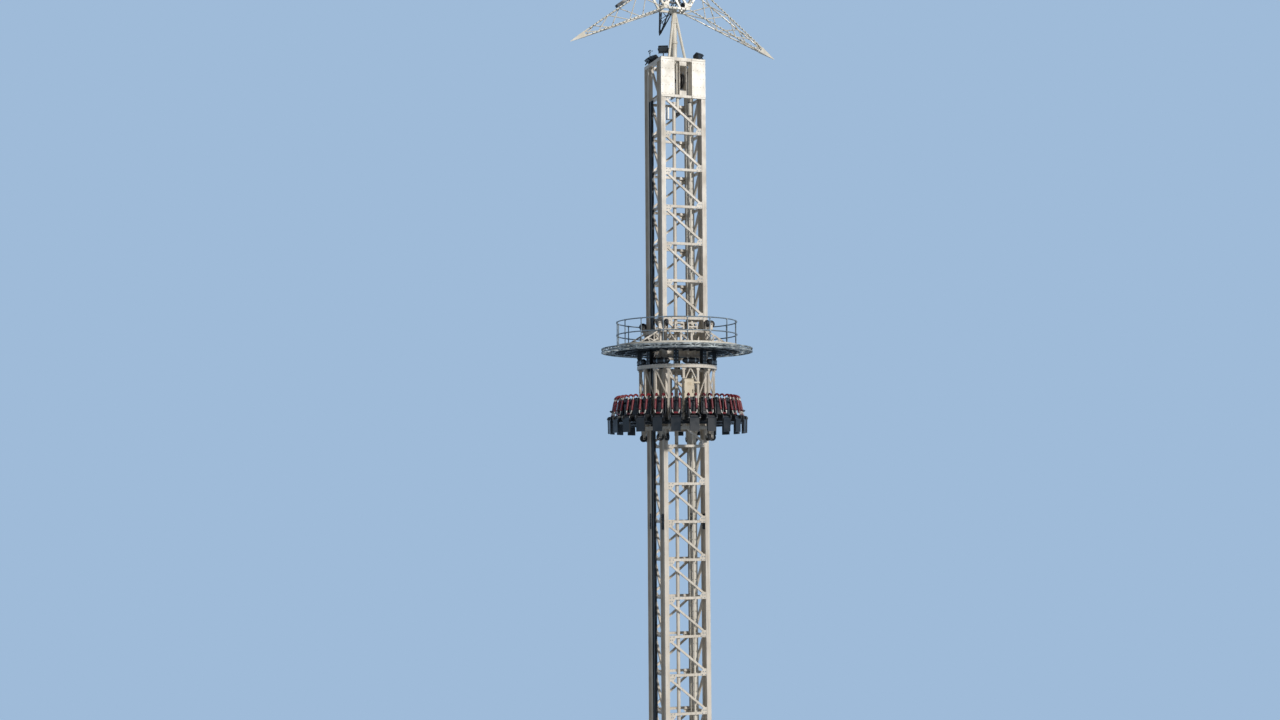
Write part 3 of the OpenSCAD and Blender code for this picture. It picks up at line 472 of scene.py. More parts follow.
TUBES = ((-0.300, 0.125), (0.300, 0.070))  # place across and diameter
SADDLE_T = 0.012

bright_paint = weathered_paint("white_gloss_paint", "#E9E4D8", "#D6CFC0", 0.3, 0.35)
finish_node("lift_tube_large", cream_paint)
finish_node("lift_tube_small", bright_paint)
saddle_rows = (lower_rows + upper_rows)[:-1:2]
clamps = []
for x, d in TUBES:
    strap = start_rod("strap", (0, 0, -0.03), (0, 0, 0.03), d / 2 + 0.006, sides=28)
    pick_faces(strap, "+z -z")
    bpy.ops.mesh.inset(thickness=0.0055)
    bpy.ops.mesh.delete(type="FACE")
    close_edit()
    ears = [start_block("ear", (side * (d / 2 + 0.028) - 0.025, -d / 2 - 0.004, -0.03),
                        (side * (d / 2 + 0.028) + 0.025, -d / 2 + 0.006, 0.03)) for side in (-1, 1)]
    heads = hex_bolt("head", 0.022, 0.012)
    copy_to(heads, [at((side * (d / 2 + 0.034), -d / 2 + 0.006, 0), (0, 1, 0)) for side in (-1, 1)])
    clamp = join("tube_clamps", [strap, heads] + ears)
    y = -FACE_Y + 0.080 + SADDLE_T + d / 2
    clamps.append(copy_to(clamp, [moved(x, y, z) for z in saddle_rows]))
fit(join("tube_clamps", clamps), "tower", galvanised)


# Ladder and cable duct. The ladder is painted flat bar with round rungs. The duct is a black
# steel channel up the left face, with the lamps' cables clipped in it.

DUCT_Y = 0.150
DUCT_TOP = 30.05

finish_node("ladder", bright_paint)


def smooth_plastic(name, colour, tone, roughness, grain, depth):
    """Moulded or coated surface: nearly even colour, soft gloss, fine grain."""
    material, tree, shader, place = new_material(name, roughness)
    cloud = add_node(tree, "TexNoise", {"Scale": 3.0, "Detail": 5.0}, {"Vector": place})
    dust = add_node(tree, "MapRange", {"From Min": 0.42, "From Max": 0.68}, {"Value": cloud.outputs[0]})
    base = add_node(tree, "Mix", {"data_type": "RGBA", 6: linear(colour), 7: linear(tone)},
                    {0: dust.outputs[0]})
    rough = add_node(tree, "MapRange", {"To Min": roughness - 0.06, "To Max": roughness + 0.2},
                     {"Value": dust.outputs[0]})
    skin = add_node(tree, "TexNoise", {"Scale": grain, "Detail": 2.0}, {"Vector": place})
    skin = add_node(tree, "Bump", {"Strength": 0.35, "Distance": depth}, {"Height": skin.outputs[0]})
    link_finish(tree, shader, base, rough, skin)
    return material


# powder coat has a 1 mm texture, drawn at 6 mm
black_coat = smooth_plastic("black_powder_coat", "#1B1C1E", "#2B2C2E", 0.42, 160.0, 0.001)
cable_jacket = smooth_plastic("cable_jacket_rubber", "#202124", "#333437", 0.6, 300.0, 0.0006)
finish_node("cable_duct", black_coat)

cables = []
for y, r in ((-0.026, 0.011), (0.000, 0.014), (0.027, 0.010)):
    x = -SIDE_X - 0.008 - r
    cables.append(start_rod("cable", (x, DUCT_Y + y, 0.30), (x, DUCT_Y + y, DUCT_TOP - 0.02), r, 10))
fit(join("duct_cables", cables), "tower", cable_jacket)
clip = start_block("cable_clips", (-SIDE_X - 0.040, DUCT_Y - 0.042, -0.02),
                   (-SIDE_X - 0.004, DUCT_Y + 0.042, 0.02))
soften(clip, 0.006, 2)
fit(copy_to(clip, [moved(0, 0, z + BAY / 2) for z in lower_rows[:-1] + upper_rows[:-1]]),
    "tower", black_coat)


# Cable tray: a sheet-steel tray with folded edges beside the duct, powder-coated black. Flat brackets
# hold it off the gussets, close to the rear column.

TRAY_X = -SIDE_X - 0.029
TRAY_Y = (0.197, 0.409)
TRAY_OUT = 0.845

tray = start_block("cable_tray", (TRAY_X - 0.003, TRAY_Y[0], 0.32), (TRAY_X, TRAY_Y[1], DUCT_TOP))
pick_faces(tray, "+y -y")
bpy.ops.mesh.extrude_region_shrink_fatten(TRANSFORM_OT_shrink_fatten={"value": 0.003})
pick_faces(tray, lambda middle, normal: normal.x < -0.9 and not TRAY_Y[0] < middle.y < TRAY_Y[1])
bpy.ops.mesh.extrude_region_move(TRANSFORM_OT_translate={"value": (-TRAY_OUT - TRAY_X + 0.003, 0, 0)})
close_edit()
fit(tray, "tower", black_coat)
strap = start_block("tray_brackets", (TRAY_X - 0.001, TRAY_Y[0] + 0.020, -0.020),
                    (-SIDE_X - 0.0002, TRAY_Y[1] - 0.010, 0.020))
pick_faces(strap, "-x")
bpy.ops.mesh.inset(thickness=0.008)
close_edit()
soften(strap, 0.003)
fit(copy_to(strap, [moved(0, 0, z) for z in lower_rows[1:-1] + upper_rows[:-1]]),
    "tower", black_coat)


# Head: two cream sheet plates over the top of the front columns, each folded at its top and foot and
# bolted through the flange. Between them the sheaves hang in a plated slot under the top beams.

PLATE_Y = -0.862
PLATE_IN = 0.335
PLATE_OUT = 0.850
PLATE_LOW = 29.99
HEAD_TOP = 31.44
BAND_T = 0.014
PLATE_BOLTS_X = (0.40, 0.54, 0.66, 0.79)
PLATE_BOLTS_Z = (30.12, 30.42, 30.72, 31.02, 31.28)
CHEEK_OUT = 0.132
SHEAVE_MIDDLE = sum(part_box("head_sheaves"), Vector()) / 2

plate_paint = weathered_paint("head_plate_gloss_paint", "#F3EEE4", "#EBE4D7", 0.32, 0.12)
for name in ("head_plate_left", "head_plate_right"):
    finish_node(name, plate_paint)
finish_node("head_beams", cream_paint)
finish_node("sheave_frame", cream_paint)

band = start_block("plate_bands", (PLATE_IN, PLATE_Y - BAND_T, 0), (PLATE_OUT, PLATE_Y, 0.075))
press(band, "-y", 0.022, (0, 0.006, 0))
soften(band, 0.003)
bands = [moved(x, 0, z) for x in (0, -PLATE_IN - PLATE_OUT) for z in (PLATE_LOW + 0.004, HEAD_TOP - 0.079)]
fit(copy_to(band, bands), "tower", plate_paint)

plate_bolt = hex_bolt("plate_bolts", 0.030, 0.016)
places = [at((side * x, PLATE_Y, z), (0, -1, 0), 20 * z)
          for side in (-1, 1) for x in PLATE_BOLTS_X for z in PLATE_BOLTS_Z]
fit(copy_to(plate_bolt, places), "tower", plate_paint)

# the sheaves are cast iron, weathered in two tones at random
cast_iron = metal("cast_iron", "#6E6A66", "#3D3A38", 0.5, 0.6, 120.0, 0.0015)
finish_node("head_sheaves", cast_iron)
cover = start_rod("bearing_covers", (0, 0, 0), (0, 0, 0.022), 0.075, sides=28)
press(cover, "+z", 0.020, (0, 0, 0.010))
press(cover, lambda middle, normal: middle.z > 0.031, 0.022, (0, 0, -0.008))
soften(cover, 0.002)
cover_bolt = hex_bolt("cover_bolts", 0.019, 0.010)
copy_to(cover_bolt, [moved(0.061 * math.cos(a), 0.061 * math.sin(a), 0.022)
                     for a in [math.radians(60 * k) for k in range(6)]])
cover = join("bearing_covers", [cover, cover_bolt])
ends = [at((side * (CHEEK_OUT + 0.030), *SHEAVE_MIDDLE.yz), (side, 0, 0)) for side in (-1, 1)]
fit(copy_to(cover, ends), "tower", cast_iron)


# Floodlights: die-cast black housings with cooling fins and a glass front, each in a steel yoke, and
# a thin mast with a wind vane and cup wheel.

LAMP_TILT = -35
LAMPS = ((-0.700, 0.230, -70), (-0.750, 0.610, -90), (0.700, -0.560, 30), (0.700, 0.560, 120))
CORNER_LAMP = (-0.640, -0.560, 0.345)  # across, back and up from the head's top
CORNER_TURN = -25
CORNER_TILT = -52
VANE_FOOT = (-0.790, 0.420, 31.884)

finish_node("floodlights", black_coat)
finish_node("wind_mast", dark_steel)
# toughened glass over a dark reflector, grey by day
lamp_glass = smooth_plastic("lamp_glass", "#39424A", "#4A545C", 0.08, 12.0, 0.0002)

fin = start_block("lamp_fins", (-0.003, -0.095, 0.035), (0.003, 0.095, 0.075))
soften(fin, 0.002)
copy_to(fin, [moved(x * 0.030, 0, 0) for x in range(-5, 6)])
bezel = start_block("bezel", (-0.178, -0.128, -0.052), (0.178, 0.128, -0.030))
press(bezel, "-z", 0.022, (0, 0, 0.012))
soften(bezel, 0.004)
arms = [start_block("arm", (x - 0.005, -0.020, -0.150), (x + 0.005, 0.020, 0.030)) for x in (-0.182, 0.182)]
knob = hex_bolt("knob", 0.030, 0.020)
copy_to(knob, [at((side * 0.187, 0, 0.005), (side, 0, 0)) for side in (-1, 1)])
body = join("lamp_yokes", [bezel, knob] + arms)
glass = start_block("lamp_glasses", (-0.150, -0.100, -0.046), (0.150, 0.100, -0.040))
press(glass, "-z", 0.03, (0, 0, -0.004))
corner_fins, corner_bezel, corner_glass = [piece.copy() for piece in (fin, body, glass)]
for piece in (corner_fins, corner_bezel, corner_glass):
    piece.data = piece.data.copy()
    scene.collection.objects.link(piece)
corner_glass.name = "corner_lamp_glass"
lamp_places = [moved(x, y, HEAD_TOP + 0.190) @ turned(turn) @ turned(LAMP_TILT, "X") for x, y, turn in LAMPS]
for piece, material in ((fin, black_coat), (body, black_coat), (glass, lamp_glass)):
    fit(copy_to(piece, lamp_places), "tower", material)

# a fifth lamp stands near the front left corner, on a post, its glass turned down and outwards
post = start_rod("post", (0, 0, -0.330), (0, 0, -0.150), 0.022, 12)
base = start_rod("base", (0, 0, -0.345), (0, 0, -0.330), 0.060, 16)
soften(base, 0.003)
cross = start_block("cross", (-0.187, -0.020, -0.158), (0.187, 0.020, -0.148))
stand = join("corner_lamp_stand", [post, base, cross])
shell = start_block("corner_lamp", (-0.170, -0.120, -0.030), (0.170, 0.120, 0.035))
press(shell, "+z", 0.020, (0, 0, 0.012))
soften(shell, 0.006, 2)
corner_place = moved(0, 0, HEAD_TOP) @ moved(*CORNER_LAMP) @ turned(CORNER_TURN)
tilted = corner_place @ turned(CORNER_TILT, "X")
fit(copy_to(stand, [corner_place]), "tower", black_coat)
shell = join("corner_lamp", [shell, corner_fins, corner_bezel])
fit(copy_to(shell, [tilted]), "tower", black_coat)
fit(copy_to(corner_glass, [tilted]), "tower", lamp_glass)

cup = start_rod("cup", (0.060, 0, 0.050), (0.088, 0, 0.050), 0.026, 12, tip=0.006)
spoke = start_rod("spoke", (0, 0, 0.050), (0.062, 0, 0.050), 0.004, 6)
for arm in (cup, spoke):
    copy_to(arm, [turned(120 * k) for k in range(3)])
spindle = start_rod("spindle", (0, 0, 0), (0, 0, 0.062), 0.007, 8)
wheel = copy_to(join("cup_wheel", [cup, spindle, spoke]), [moved(0, -0.050, 0) @ moved(*VANE_FOOT)])
fit(wheel, "tower", black_coat)
tail = start_block("wind_vane", (-0.003, 0.030, 0.040), (0.003, 0.120, 0.105))
pick_faces(tail, "-y")
bpy.ops.transform.resize(value=(1, 1, 0.4))
close_edit()
rod = start_rod("rod", (0, -0.080, 0.072), (0, 0.040, 0.072), 0.004, 6)
post = start_rod("post", (0, 0, 0), (0, 0, 0.074), 0.006, 8)
vane = copy_to(join("wind_vane", [tail, rod, post]), [moved(0, 0.050, 0) @ moved(*VANE_FOOT)])
fit(vane, "tower", black_coat)


# Under the head: a hydraulic buffer on a tube beside the slot's left cheek, a sleeve on the small
# lift tube, and a flat bar with a switch plate on the large lift tube.

BUFFER = (-0.160, -0.680)
SMALL_TUBE = (0.300, -0.7015)
FITTING_RINGS = ((BUFFER, 0.620, 0.530), (SMALL_TUBE, 0.640, 0.590), (SMALL_TUBE, 0.150, 0.100))
BAR_BACK, BAR_FRONT = -0.675, -0.705


def below_head(x, y, down):
    """A point under the head plates' lower edge."""
    return x, y, PLATE_LOW - down


barrel = start_rod("head_buffer", below_head(*BUFFER, 0.540), below_head(*BUFFER, -0.060), 0.055, 28)
soften(barrel, 0.008, 2)
stem_x = BUFFER[0] - 0.014
stem = start_rod("stem", below_head(stem_x, BUFFER[1], -0.050), (stem_x, BUFFER[1], HEAD_TOP - 0.125),
                 0.034, 20)
fit(join("head_buffer", [barrel, stem]), "tower", bright_paint)
sleeve = start_rod("tube_sleeve", below_head(*SMALL_TUBE, 0.600), below_head(*SMALL_TUBE, 0.110), 0.060, 28)
soften(sleeve, 0.008, 2)
fit(sleeve, "tower", bright_paint)
fittings = []
for spot, low, high in FITTING_RINGS:
    fittings.append(start_rod("ring", below_head(*spot, low), below_head(*spot, high), 0.068, 28))
    soften(fittings[-1], 0.006, 2)
for bar_right, bar_top in ((-0.372, 0.765), (-0.570, 0.290)):
    fittings.append(start_block("bar", below_head(-0.605, BAR_FRONT, 0.800),
                                below_head(bar_right, BAR_BACK, bar_top)))
    soften(fittings[-1], 0.003)
fit(join("head_fittings", fittings), "tower", black_coat)
switch_plate = start_block("switch_plate", below_head(-0.545, BAR_FRONT + 0.004, 0.766),
                           below_head(-0.490, BAR_BACK - 0.004, 0.340))
soften(switch_plate, 0.003)
fit(switch_plate, "tower", bright_paint)


# Star: six lattice arms of welded tube round a six-sided hub, on a thick pole with three stays. Rows
# of small lamps with milky caps sit on the arms' corner tubes and on the hub's sides.

HUB_SIDE = 0.950
HUB_DEPTH = 0.620
HUB_IN = HUB_SIDE * math.sqrt(3) / 2
HUB_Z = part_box("star_hub")[0].z + HUB_IN
ARM_ROOT = (HUB_SIDE, HUB_DEPTH)
ARM_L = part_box("star_arm_top")[1].z - HUB_Z - HUB_IN
ARM_PANELS = 5
WEB_R = 0.019
TIP_L = 0.620
CHORD = 0.050
REAR_L = 1.820
REAR_SLOPE = 47.5
REAR_ROOT = (0.760, 0.500)
REAR_TIP = 0.150
HUB_TUBE = 0.070
LAMP_STEP = 0.150
HUB_LAMP_STEP = 0.170
COLLARS_Z = (HEAD_TOP + 0.05, 32.2, 32.95)
STAY_LAMP = (0.332, -0.060, 33.580)
ARM_LAMP = (-1.898, -0.100, 33.458)
LEFT_ARM_SLOPE = 36.9
ROUND = ((-1, -1), (1, -1), (1, 1), (-1, 1))  # an arm's corners in turn

for name in ("star_pole", "star_hub", "star_arm_left", "star_arm_right", "star_arm_upper_left",
             "star_arm_upper_right", "star_arm_top"):
    finish_node(name, bright_paint)

# milky acrylic caps, a little yellow with age
lamp_cap = smooth_plastic("milky_acrylic", "#F3EBD0", "#E4D7B4", 0.18, 40.0, 0.0004)
socket = start_rod("lamp_sockets", (0, 0, -0.010), (0, 0, 0.012), 0.024, 10)
soften(socket, 0.004)
cap = start_rod("lamp_caps", (0, 0, 0.012), (0, 0, 0.040), 0.021, 10, tip=0.016)
pick_faces(cap, "+z")
bpy.ops.mesh.extrude_region_move(TRANSFORM_OT_translate={"value": (0, 0, 0.009)})
bpy.ops.transform.resize(value=(0.55, 0.55, 1))
close_edit()


def arm_point(root, length, corner, z):
    """A point on the middle line of a corner tube of an arm that stands on its root."""
    near = (1 - z / length) / 2
    return Vector((corner[0] * (root[0] - CHORD) * near, corner[1] * (root[1] - CHORD) * near, z))


hub_sides = [moved(0, 0, HUB_Z) @ turned(turn, "Y") for turn in range(-120, 240, 60)]
arm_stands = [side @ moved(0, 0, HUB_IN) for side in hub_sides[:-1]]  # none on the lowest side
lamp_spots = []
for stand in arm_stands:
    for corner in ROUND:
        side = Vector((0, corner[1], 0))
        for k in range(1, int((ARM_L - TIP_L) / LAMP_STEP)):
            spot = arm_point(ARM_ROOT, ARM_L, corner, k * LAMP_STEP)
            lamp_spots.append(stand @ at(spot + side * CHORD * 0.46, side))
for hub_side in hub_sides:
    lamp_spots += [hub_side @ at((k * HUB_LAMP_STEP, y * (HUB_DEPTH / 2 - 0.001), HUB_IN - 0.035), (0, y, 0))
                   for k in range(-2, 3) for y in (-1, 1)]
fit(copy_to(socket, lamp_spots), "tower", black_coat)
fit(copy_to(cap, lamp_spots), "tower", lamp_cap)


def arm_webs(root, length, tip, radius):
    """The zigzag tubes on the four sides of an arm that stands on its root."""
    levels = [(length - tip) * (1 - (1 - k / ARM_PANELS) ** 1.15) for k in range(ARM_PANELS + 1)]
    webs = []
    for k in range(ARM_PANELS):
        for j in range(4):
            pair = (ROUND[j], ROUND[(j + 1) % 4])[::-1 if (k + j) % 2 else 1]
            ends = [arm_point(root, length, corner, z) for corner, z in zip(pair, levels[k:k + 2])]
            webs.append(start_rod("web", *ends, radius, 8))
    return webs


webs = join("star_webs", arm_webs(ARM_ROOT, ARM_L, TIP_L, WEB_R))
fit(copy_to(webs, arm_stands), "tower", bright_paint)

# the rear arm hangs from a frame on the back of the hub and is open to its tip, drawn in the dark grey primer
# material, darker than the other arms
rear_chords = [start_rod("chord", arm_point(REAR_ROOT, REAR_L, corner, 0),
                         arm_point(REAR_ROOT, REAR_L, corner, REAR_L - REAR_TIP), 0.023, 12)
               for corner in ROUND]
rear_tip = start_block("tip", (-0.058, -0.046, REAR_L - REAR_TIP - 0.020), (0.058, 0.046, REAR_L - 0.010))
pick_faces(rear_tip, "+z")
bpy.ops.transform.resize(value=(0.12, 0.12, 1))
close_edit()
soften(rear_tip, 0.003)
rear_arm = join("star_arm_rear_open", rear_chords + [rear_tip]
                + arm_webs(REAR_ROOT, REAR_L, REAR_TIP, 0.013))
copy_to(rear_arm, [moved(0, HUB_DEPTH / 2, HUB_Z) @ turned(-90 - REAR_SLOPE, "X")])
cut(rear_arm, (0, HUB_DEPTH / 2 + 0.001, 0), (0, -1, 0))
frame_h = REAR_ROOT[1] / math.cos(math.radians(REAR_SLOPE)) + 2 * HUB_TUBE
half_bar = HUB_TUBE / 2
bar_x, bar_z = REAR_ROOT[0] / 2 - half_bar, frame_h / 2 - half_bar
bar_y = HUB_DEPTH / 2 + 0.0002
frame_bars = []
for side in (-1, 1):
    frame_bars.append(start_block("bar", (side * bar_x - half_bar, bar_y, HUB_Z - frame_h / 2),
                                  (side * bar_x + half_bar, HUB_DEPTH / 2 + HUB_TUBE, HUB_Z + frame_h / 2)))
    frame_bars.append(start_block("bar", (-bar_x, bar_y, HUB_Z + side * bar_z - half_bar),
                                  (bar_x, HUB_DEPTH / 2 + HUB_TUBE - 0.001, HUB_Z + side * bar_z + half_bar)))
frame_piece = join("rear_arm_frame", frame_bars)
soften(frame_piece, 0.006, 2)
rear_arm = fit(join("star_arm_rear_open", [rear_arm, frame_piece]), "tower", dark_steel)
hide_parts("star_arm_rear")

# a flange with eight bolts where each arm meets the hub
flange_bolt = hex_bolt("hub_flange_bolts", 0.030, 0.018)
places = [stand @ at((x, side * (HUB_DEPTH / 2 - 0.035), 0.0), (0, 0, 1))
          for stand in arm_stands for x in (-0.30, -0.10, 0.10, 0.30) for side in (-1, 1)]
fit(copy_to(flange_bolt, places), "tower", galvanised)

gusset = start_block("hub_gussets", (-0.12, -0.006, -0.006), (0.12, 0.006, 0.16))
for side in (-1, 1):
    cut(gusset, (side * 0.12, 0, 0.02), (side * 0.8, 0, 0.6))
places = [hub_side @ turned(30, "Y") @ moved(0, y, HUB_SIDE - 0.130) @ turned(180, "X")
          for hub_side in hub_sides for y in (-HUB_DEPTH / 2 - 0.005, HUB_DEPTH / 2 + 0.005)]
fit(copy_to(gusset, places), "tower", bright_paint)

# pole collars over the stays' ends, and one round lamp on the right stay
collar = start_rod("pole_collars", (0, 0, -0.05), (0, 0, 0.05), 0.118, 32)
soften(collar, 0.012, 2)
fit(copy_to(collar, [moved(0, 0, z) for z in COLLARS_Z]), "tower", bright_paint)
lamp = start_rod("round_lamp", (0, 0, 0), (0, 0, 0.10), 0.115, 28, tip=0.085)
press(lamp, "-z", 0.016, (0, 0, 0.018))
soften(lamp, 0.006, 2)
pin = start_rod("pin", (0, 0, 0.06), (-0.16, 0.07, 0.13), 0.012, 10)
lamp = join("round_lamp", [lamp, pin])
copy_to(lamp, [moved(*STAY_LAMP) @ turned(68, "X")])
fit(lamp, "tower", black_coat)

# a flat black lamp on the left arm's upper tubes, on two straps
panel = start_block("panel_lamp", (-0.360, -0.110, 0.045), (0.360, 0.110, 0.150))
press(panel, "+z", 0.022, (0, 0, -0.010))
soften(panel, 0.006, 2)
feet = [start_block("strap", (x - 0.020, -0.115, 0.018), (x + 0.020, 0.315, 0.030)) for x in (-0.18, 0.18)]
feet += [start_rod("stud", (x, y, 0.026), (x, y, 0.050), 0.010, 10)
         for x in (-0.18, 0.18) for y in (-0.07, 0.07)]
panel = join("panel_lamp", [panel] + feet)
copy_to(panel, [moved(*ARM_LAMP) @ turned(-LEFT_ARM_SLOPE, "Y")])
fit(panel, "tower", black_coat)


# Guide frame of the carriage: two square frames of box section round the mast. Rubber-tyred rollers
# on plated ears run on the columns' faces and edges, above the upper frame and below the drum.

HALF = 0.850
ROLLER_R = 0.130
ROLLER_W = 0.090
ROLLER_OFF = HALF + 0.0003 + ROLLER_R
EDGE_Y = HALF - 0.011
UPPER_FRAME = 21.700
UPPER_AXLE = UPPER_FRAME + 0.210
LOWER_AXLE = 17.900
LOWER_SQUARE = 18.170
EAR_X = 0.045
EAR_T = 0.014

finish_node("guide_frame", cream_paint)
finish_node("frame_struts", cream_paint)
# polyurethane-coated rubber, scuffed grey in patches at random
tyre_rubber = smooth_plastic("tyre_rubber", "#1C1C1D", "#35353A", 0.7, 220.0, 0.001)

tyre = start_rod("roller_tyres", (-ROLLER_W / 2, 0, 0), (ROLLER_W / 2, 0, 0), ROLLER_R, 40)
pick_faces(tyre, "+x -x")
bpy.ops.mesh.inset(thickness=0.030)
bpy.ops.mesh.extrude_region_shrink_fatten(TRANSFORM_OT_shrink_fatten={"value": -0.012})
close_edit()
soften(tyre, 0.006, 2)
hub = start_rod("hub", (-0.040, 0, 0), (0.040, 0, 0), 0.098, 32)
pick_faces(hub, "+x -x")
bpy.ops.mesh.inset(thickness=0.008)
bpy.ops.mesh.extrude_region_shrink_fatten(TRANSFORM_OT_shrink_fatten={"value": -0.014})
bpy.ops.mesh.inset(thickness=0.046)
bpy.ops.mesh.extrude_region_shrink_fatten(TRANSFORM_OT_shrink_fatten={"value": 0.016})
close_edit()
axle = start_rod("axle", (-0.066, 0, 0), (0.066, 0, 0), 0.020, 16)
axle_nuts = copy_to(hex_bolt("axle_nuts", 0.046, 0.018),
                    [at((side * (EAR_X + EAR_T), 0, 0), (side, 0, 0)) for side in (-1, 1)])
wheel = join("roller_wheels", [hub, axle, axle_nuts])
roller_sets = []  # the upper rollers stand on their frame, the lower ones hang from theirs
for z, over in ((UPPER_AXLE, turned(0)), (LOWER_AXLE, turned(180, "Y"))):
    places = []
    for sx, sy in CORNERS:
        places += [moved(sx * COLUMN_X, sy * ROLLER_OFF, z) @ turned(180 if sy < 0 else 0) @ over,
                   moved(sx * ROLLER_OFF, sy * EDGE_Y, z) @ turned(-90 * sx) @ over]
    roller_sets.append(places)
fit(copy_to(tyre, roller_sets[0] + roller_sets[1]), "carriage", tyre_rubber)
fit(copy_to(wheel, roller_sets[0] + roller_sets[1]), "carriage", cast_iron)
# two ear plates beside each roller, the corner above the column's side cut away
ears = []
for places, reach in zip(roller_sets, (UPPER_AXLE - UPPER_FRAME, LOWER_SQUARE - LOWER_AXLE)):
    for side in (-1, 1):
        ear = start_block("roller_ears", (side * (EAR_X + EAR_T / 2) - EAR_T / 2, -0.100, -reach),
                          (side * (EAR_X + EAR_T / 2) + EAR_T / 2, 0.045, 0.040))
        pick_faces(ear, "+z")
        bpy.ops.transform.resize(value=(1, 0.55, 1), center_override=(0, 0.045, 0))
        close_edit()
        soften(ear, 0.003)
        ears.append(copy_to(ear, places))
ears = fit(join("roller_ears", ears), "carriage", cream_paint)
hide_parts("guide_rollers")
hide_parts("guide_rollers")
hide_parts("guide_rollers")


# Deck: chequered steel plate on the spokes, with a white kick plate and two hinged hatches. The
# railing is galvanised tube in key clamps, with a foot plate under each post.

DECK_Z = 21.100
RAIL_R = 2.147
RAIL_H = 0.920
RAIL_POSTS = 16
HATCH_IN, HATCH_OUT = 1.14, 1.78
HATCH_HALF = 0.32
STRUT_OUT = RAIL_R - 0.340

deck_plate, tree, shader, place = new_material("chequered_plate", 0.55, 0.3)
# the raised tears are 30 mm long, drawn at 70 mm so that they show
tread = []
for turn in (45, -45):
    rows = add_node(tree, "Mapping", {"Rotation": (0, 0, math.radians(turn)), "Scale": (14.0, 52.0, 1.0)},
                    {"Vector": place})
    tread.append(add_node(tree, "TexVoronoi", {"voronoi_dimensions": "2D", "Randomness": 0.0},
                          {"Vector": rows.outputs[0]}))
tears = add_node(tree, "Math", {"operation": "MINIMUM"},
                 {0: tread[0].outputs["Distance"], 1: tread[1].outputs["Distance"]})
tears = add_node(tree, "MapRange", {"From Min": 0.22, "From Max": 0.32, "To Min": 1.0, "To Max": 0.0},
                 {"Value": tears.outputs[0]})
worn = add_node(tree, "TexNoise", {"Scale": 2.0, "Detail": 6.0}, {"Vector": place})
tone = add_node(tree, "Mix", {"data_type": "RGBA", 6: linear("#4C5053"), 7: linear("#6E7376")},
                {0: worn.outputs[0]})
tone = add_node(tree, "Mix", {"data_type": "RGBA", 7: linear("#8D9295")},
                {0: tears.outputs[0], 6: tone.outputs[2]})
# its underside is drawn near-black: painted shade under the deck
depth = add_node(tree, "SeparateXYZ", None, {"Vector": place})
top = add_node(tree, "Math", {"operation": "GREATER_THAN", 1: DECK_Z - 0.004}, {0: depth.outputs["Z"]})
tone = add_node(tree, "Mix", {"data_type": "RGBA", 6: linear("#1E2022")},
                {0: top.outputs[0], 7: tone.outputs[2]})
rough = add_node(tree, "MapRange", {"To Min": 0.65, "To Max": 0.42}, {"Value": worn.outputs[0]})
tears = add_node(tree, "Bump", {"Strength": 0.8, "Distance": 0.004}, {"Height": tears.outputs[0]})
link_finish(tree, shader, tone, rough, tears)
finish_node("deck", deck_plate)

# weathered zinc that has gone blue-grey
rail_zinc = metal("weathered_zinc", "#8F9AA1", "#636E76", 0.5, 0.4, 35.0, 0.001)
finish_node("deck_railing", rail_zinc)

kick = start_rod("kick_plate", (0, 0, DECK_Z - 0.010), (0, 0, DECK_Z + 0.090), RAIL_R + 0.047, 96)
pick_faces(kick, "+z -z")
bpy.ops.mesh.delete(type="FACE")
close_edit()
apply_modifier(kick, "SOLIDIFY", thickness=0.005, offset=-1)
fit(kick, "carriage", bright_paint)


def round_mast(count, first=0.5):
    """Equal turns about the mast's axis, the first one a part of a step from the X axis."""
    return [turned((k + first) * 360 / count) for k in range(count)]


rail_turns = round_mast(RAIL_POSTS)
sleeve = start_rod("sleeve", (0, 0, -0.038), (0, 0, 0.030), 0.029, 16)
soften(sleeve, 0.005)
across = start_rod("across", (0, -0.036, 0), (0, 0.036, 0), 0.029, 16)
soften(across, 0.005)
screw = copy_to(hex_bolt("screw", 0.014, 0.010), [at((-0.027, 0, -0.022), (-1, 0, 0))])
clamp = join("rail_clamps", [sleeve, across, screw])
heights = [moved(RAIL_R, 0, DECK_Z + h) for h in (RAIL_H / 2, RAIL_H - 0.004)]
fit(copy_to(clamp, [turn @ height for turn in rail_turns for height in heights]),
    "carriage", galvanised)
foot = start_block("post_feet", (RAIL_R - 0.060, -0.040, DECK_Z + 0.0005),
                   (RAIL_R + 0.032, 0.040, DECK_Z + 0.010))
soften(foot, 0.003)
ring = start_rod("ring", (RAIL_R, 0, DECK_Z + 0.009), (RAIL_R, 0, DECK_Z + 0.060), 0.026, 16)
soften(ring, 0.004)
foot_bolts = copy_to(hex_bolt("foot_bolts", 0.018, 0.010),
                     [moved(RAIL_R - 0.044, y, DECK_Z + 0.010) for y in (-0.024, 0.024)])
fit(copy_to(join("post_feet", [foot, ring, foot_bolts]), rail_turns),
    "carriage", galvanised)

# two hatches, each with a lifting bar and two hinges
hatch = start_block("deck_hatch", (HATCH_IN, -HATCH_HALF, DECK_Z + 0.0005),
                    (HATCH_OUT, HATCH_HALF, DECK_Z + 0.012))
press(hatch, "+z", 0.035, (0, 0, -0.006))
soften(hatch, 0.002)
hatch_parts = [hatch]
for x, y, rise, r, sides in ((HATCH_OUT - 0.060, 0, 0.010, 0.008, 10),
                             (HATCH_IN + 0.005, -0.2, 0.016, 0.012, 12),
                             (HATCH_IN + 0.005, 0.2, 0.016, 0.012, 12)):
    z = DECK_Z + rise
    hatch_parts.append(start_rod("bar", (x, y - 0.05, z), (x, y + 0.05, z), r, sides))
fit(copy_to(join("deck_hatch", hatch_parts), [turned(-35), turned(145)]),
    "carriage", deck_plate)

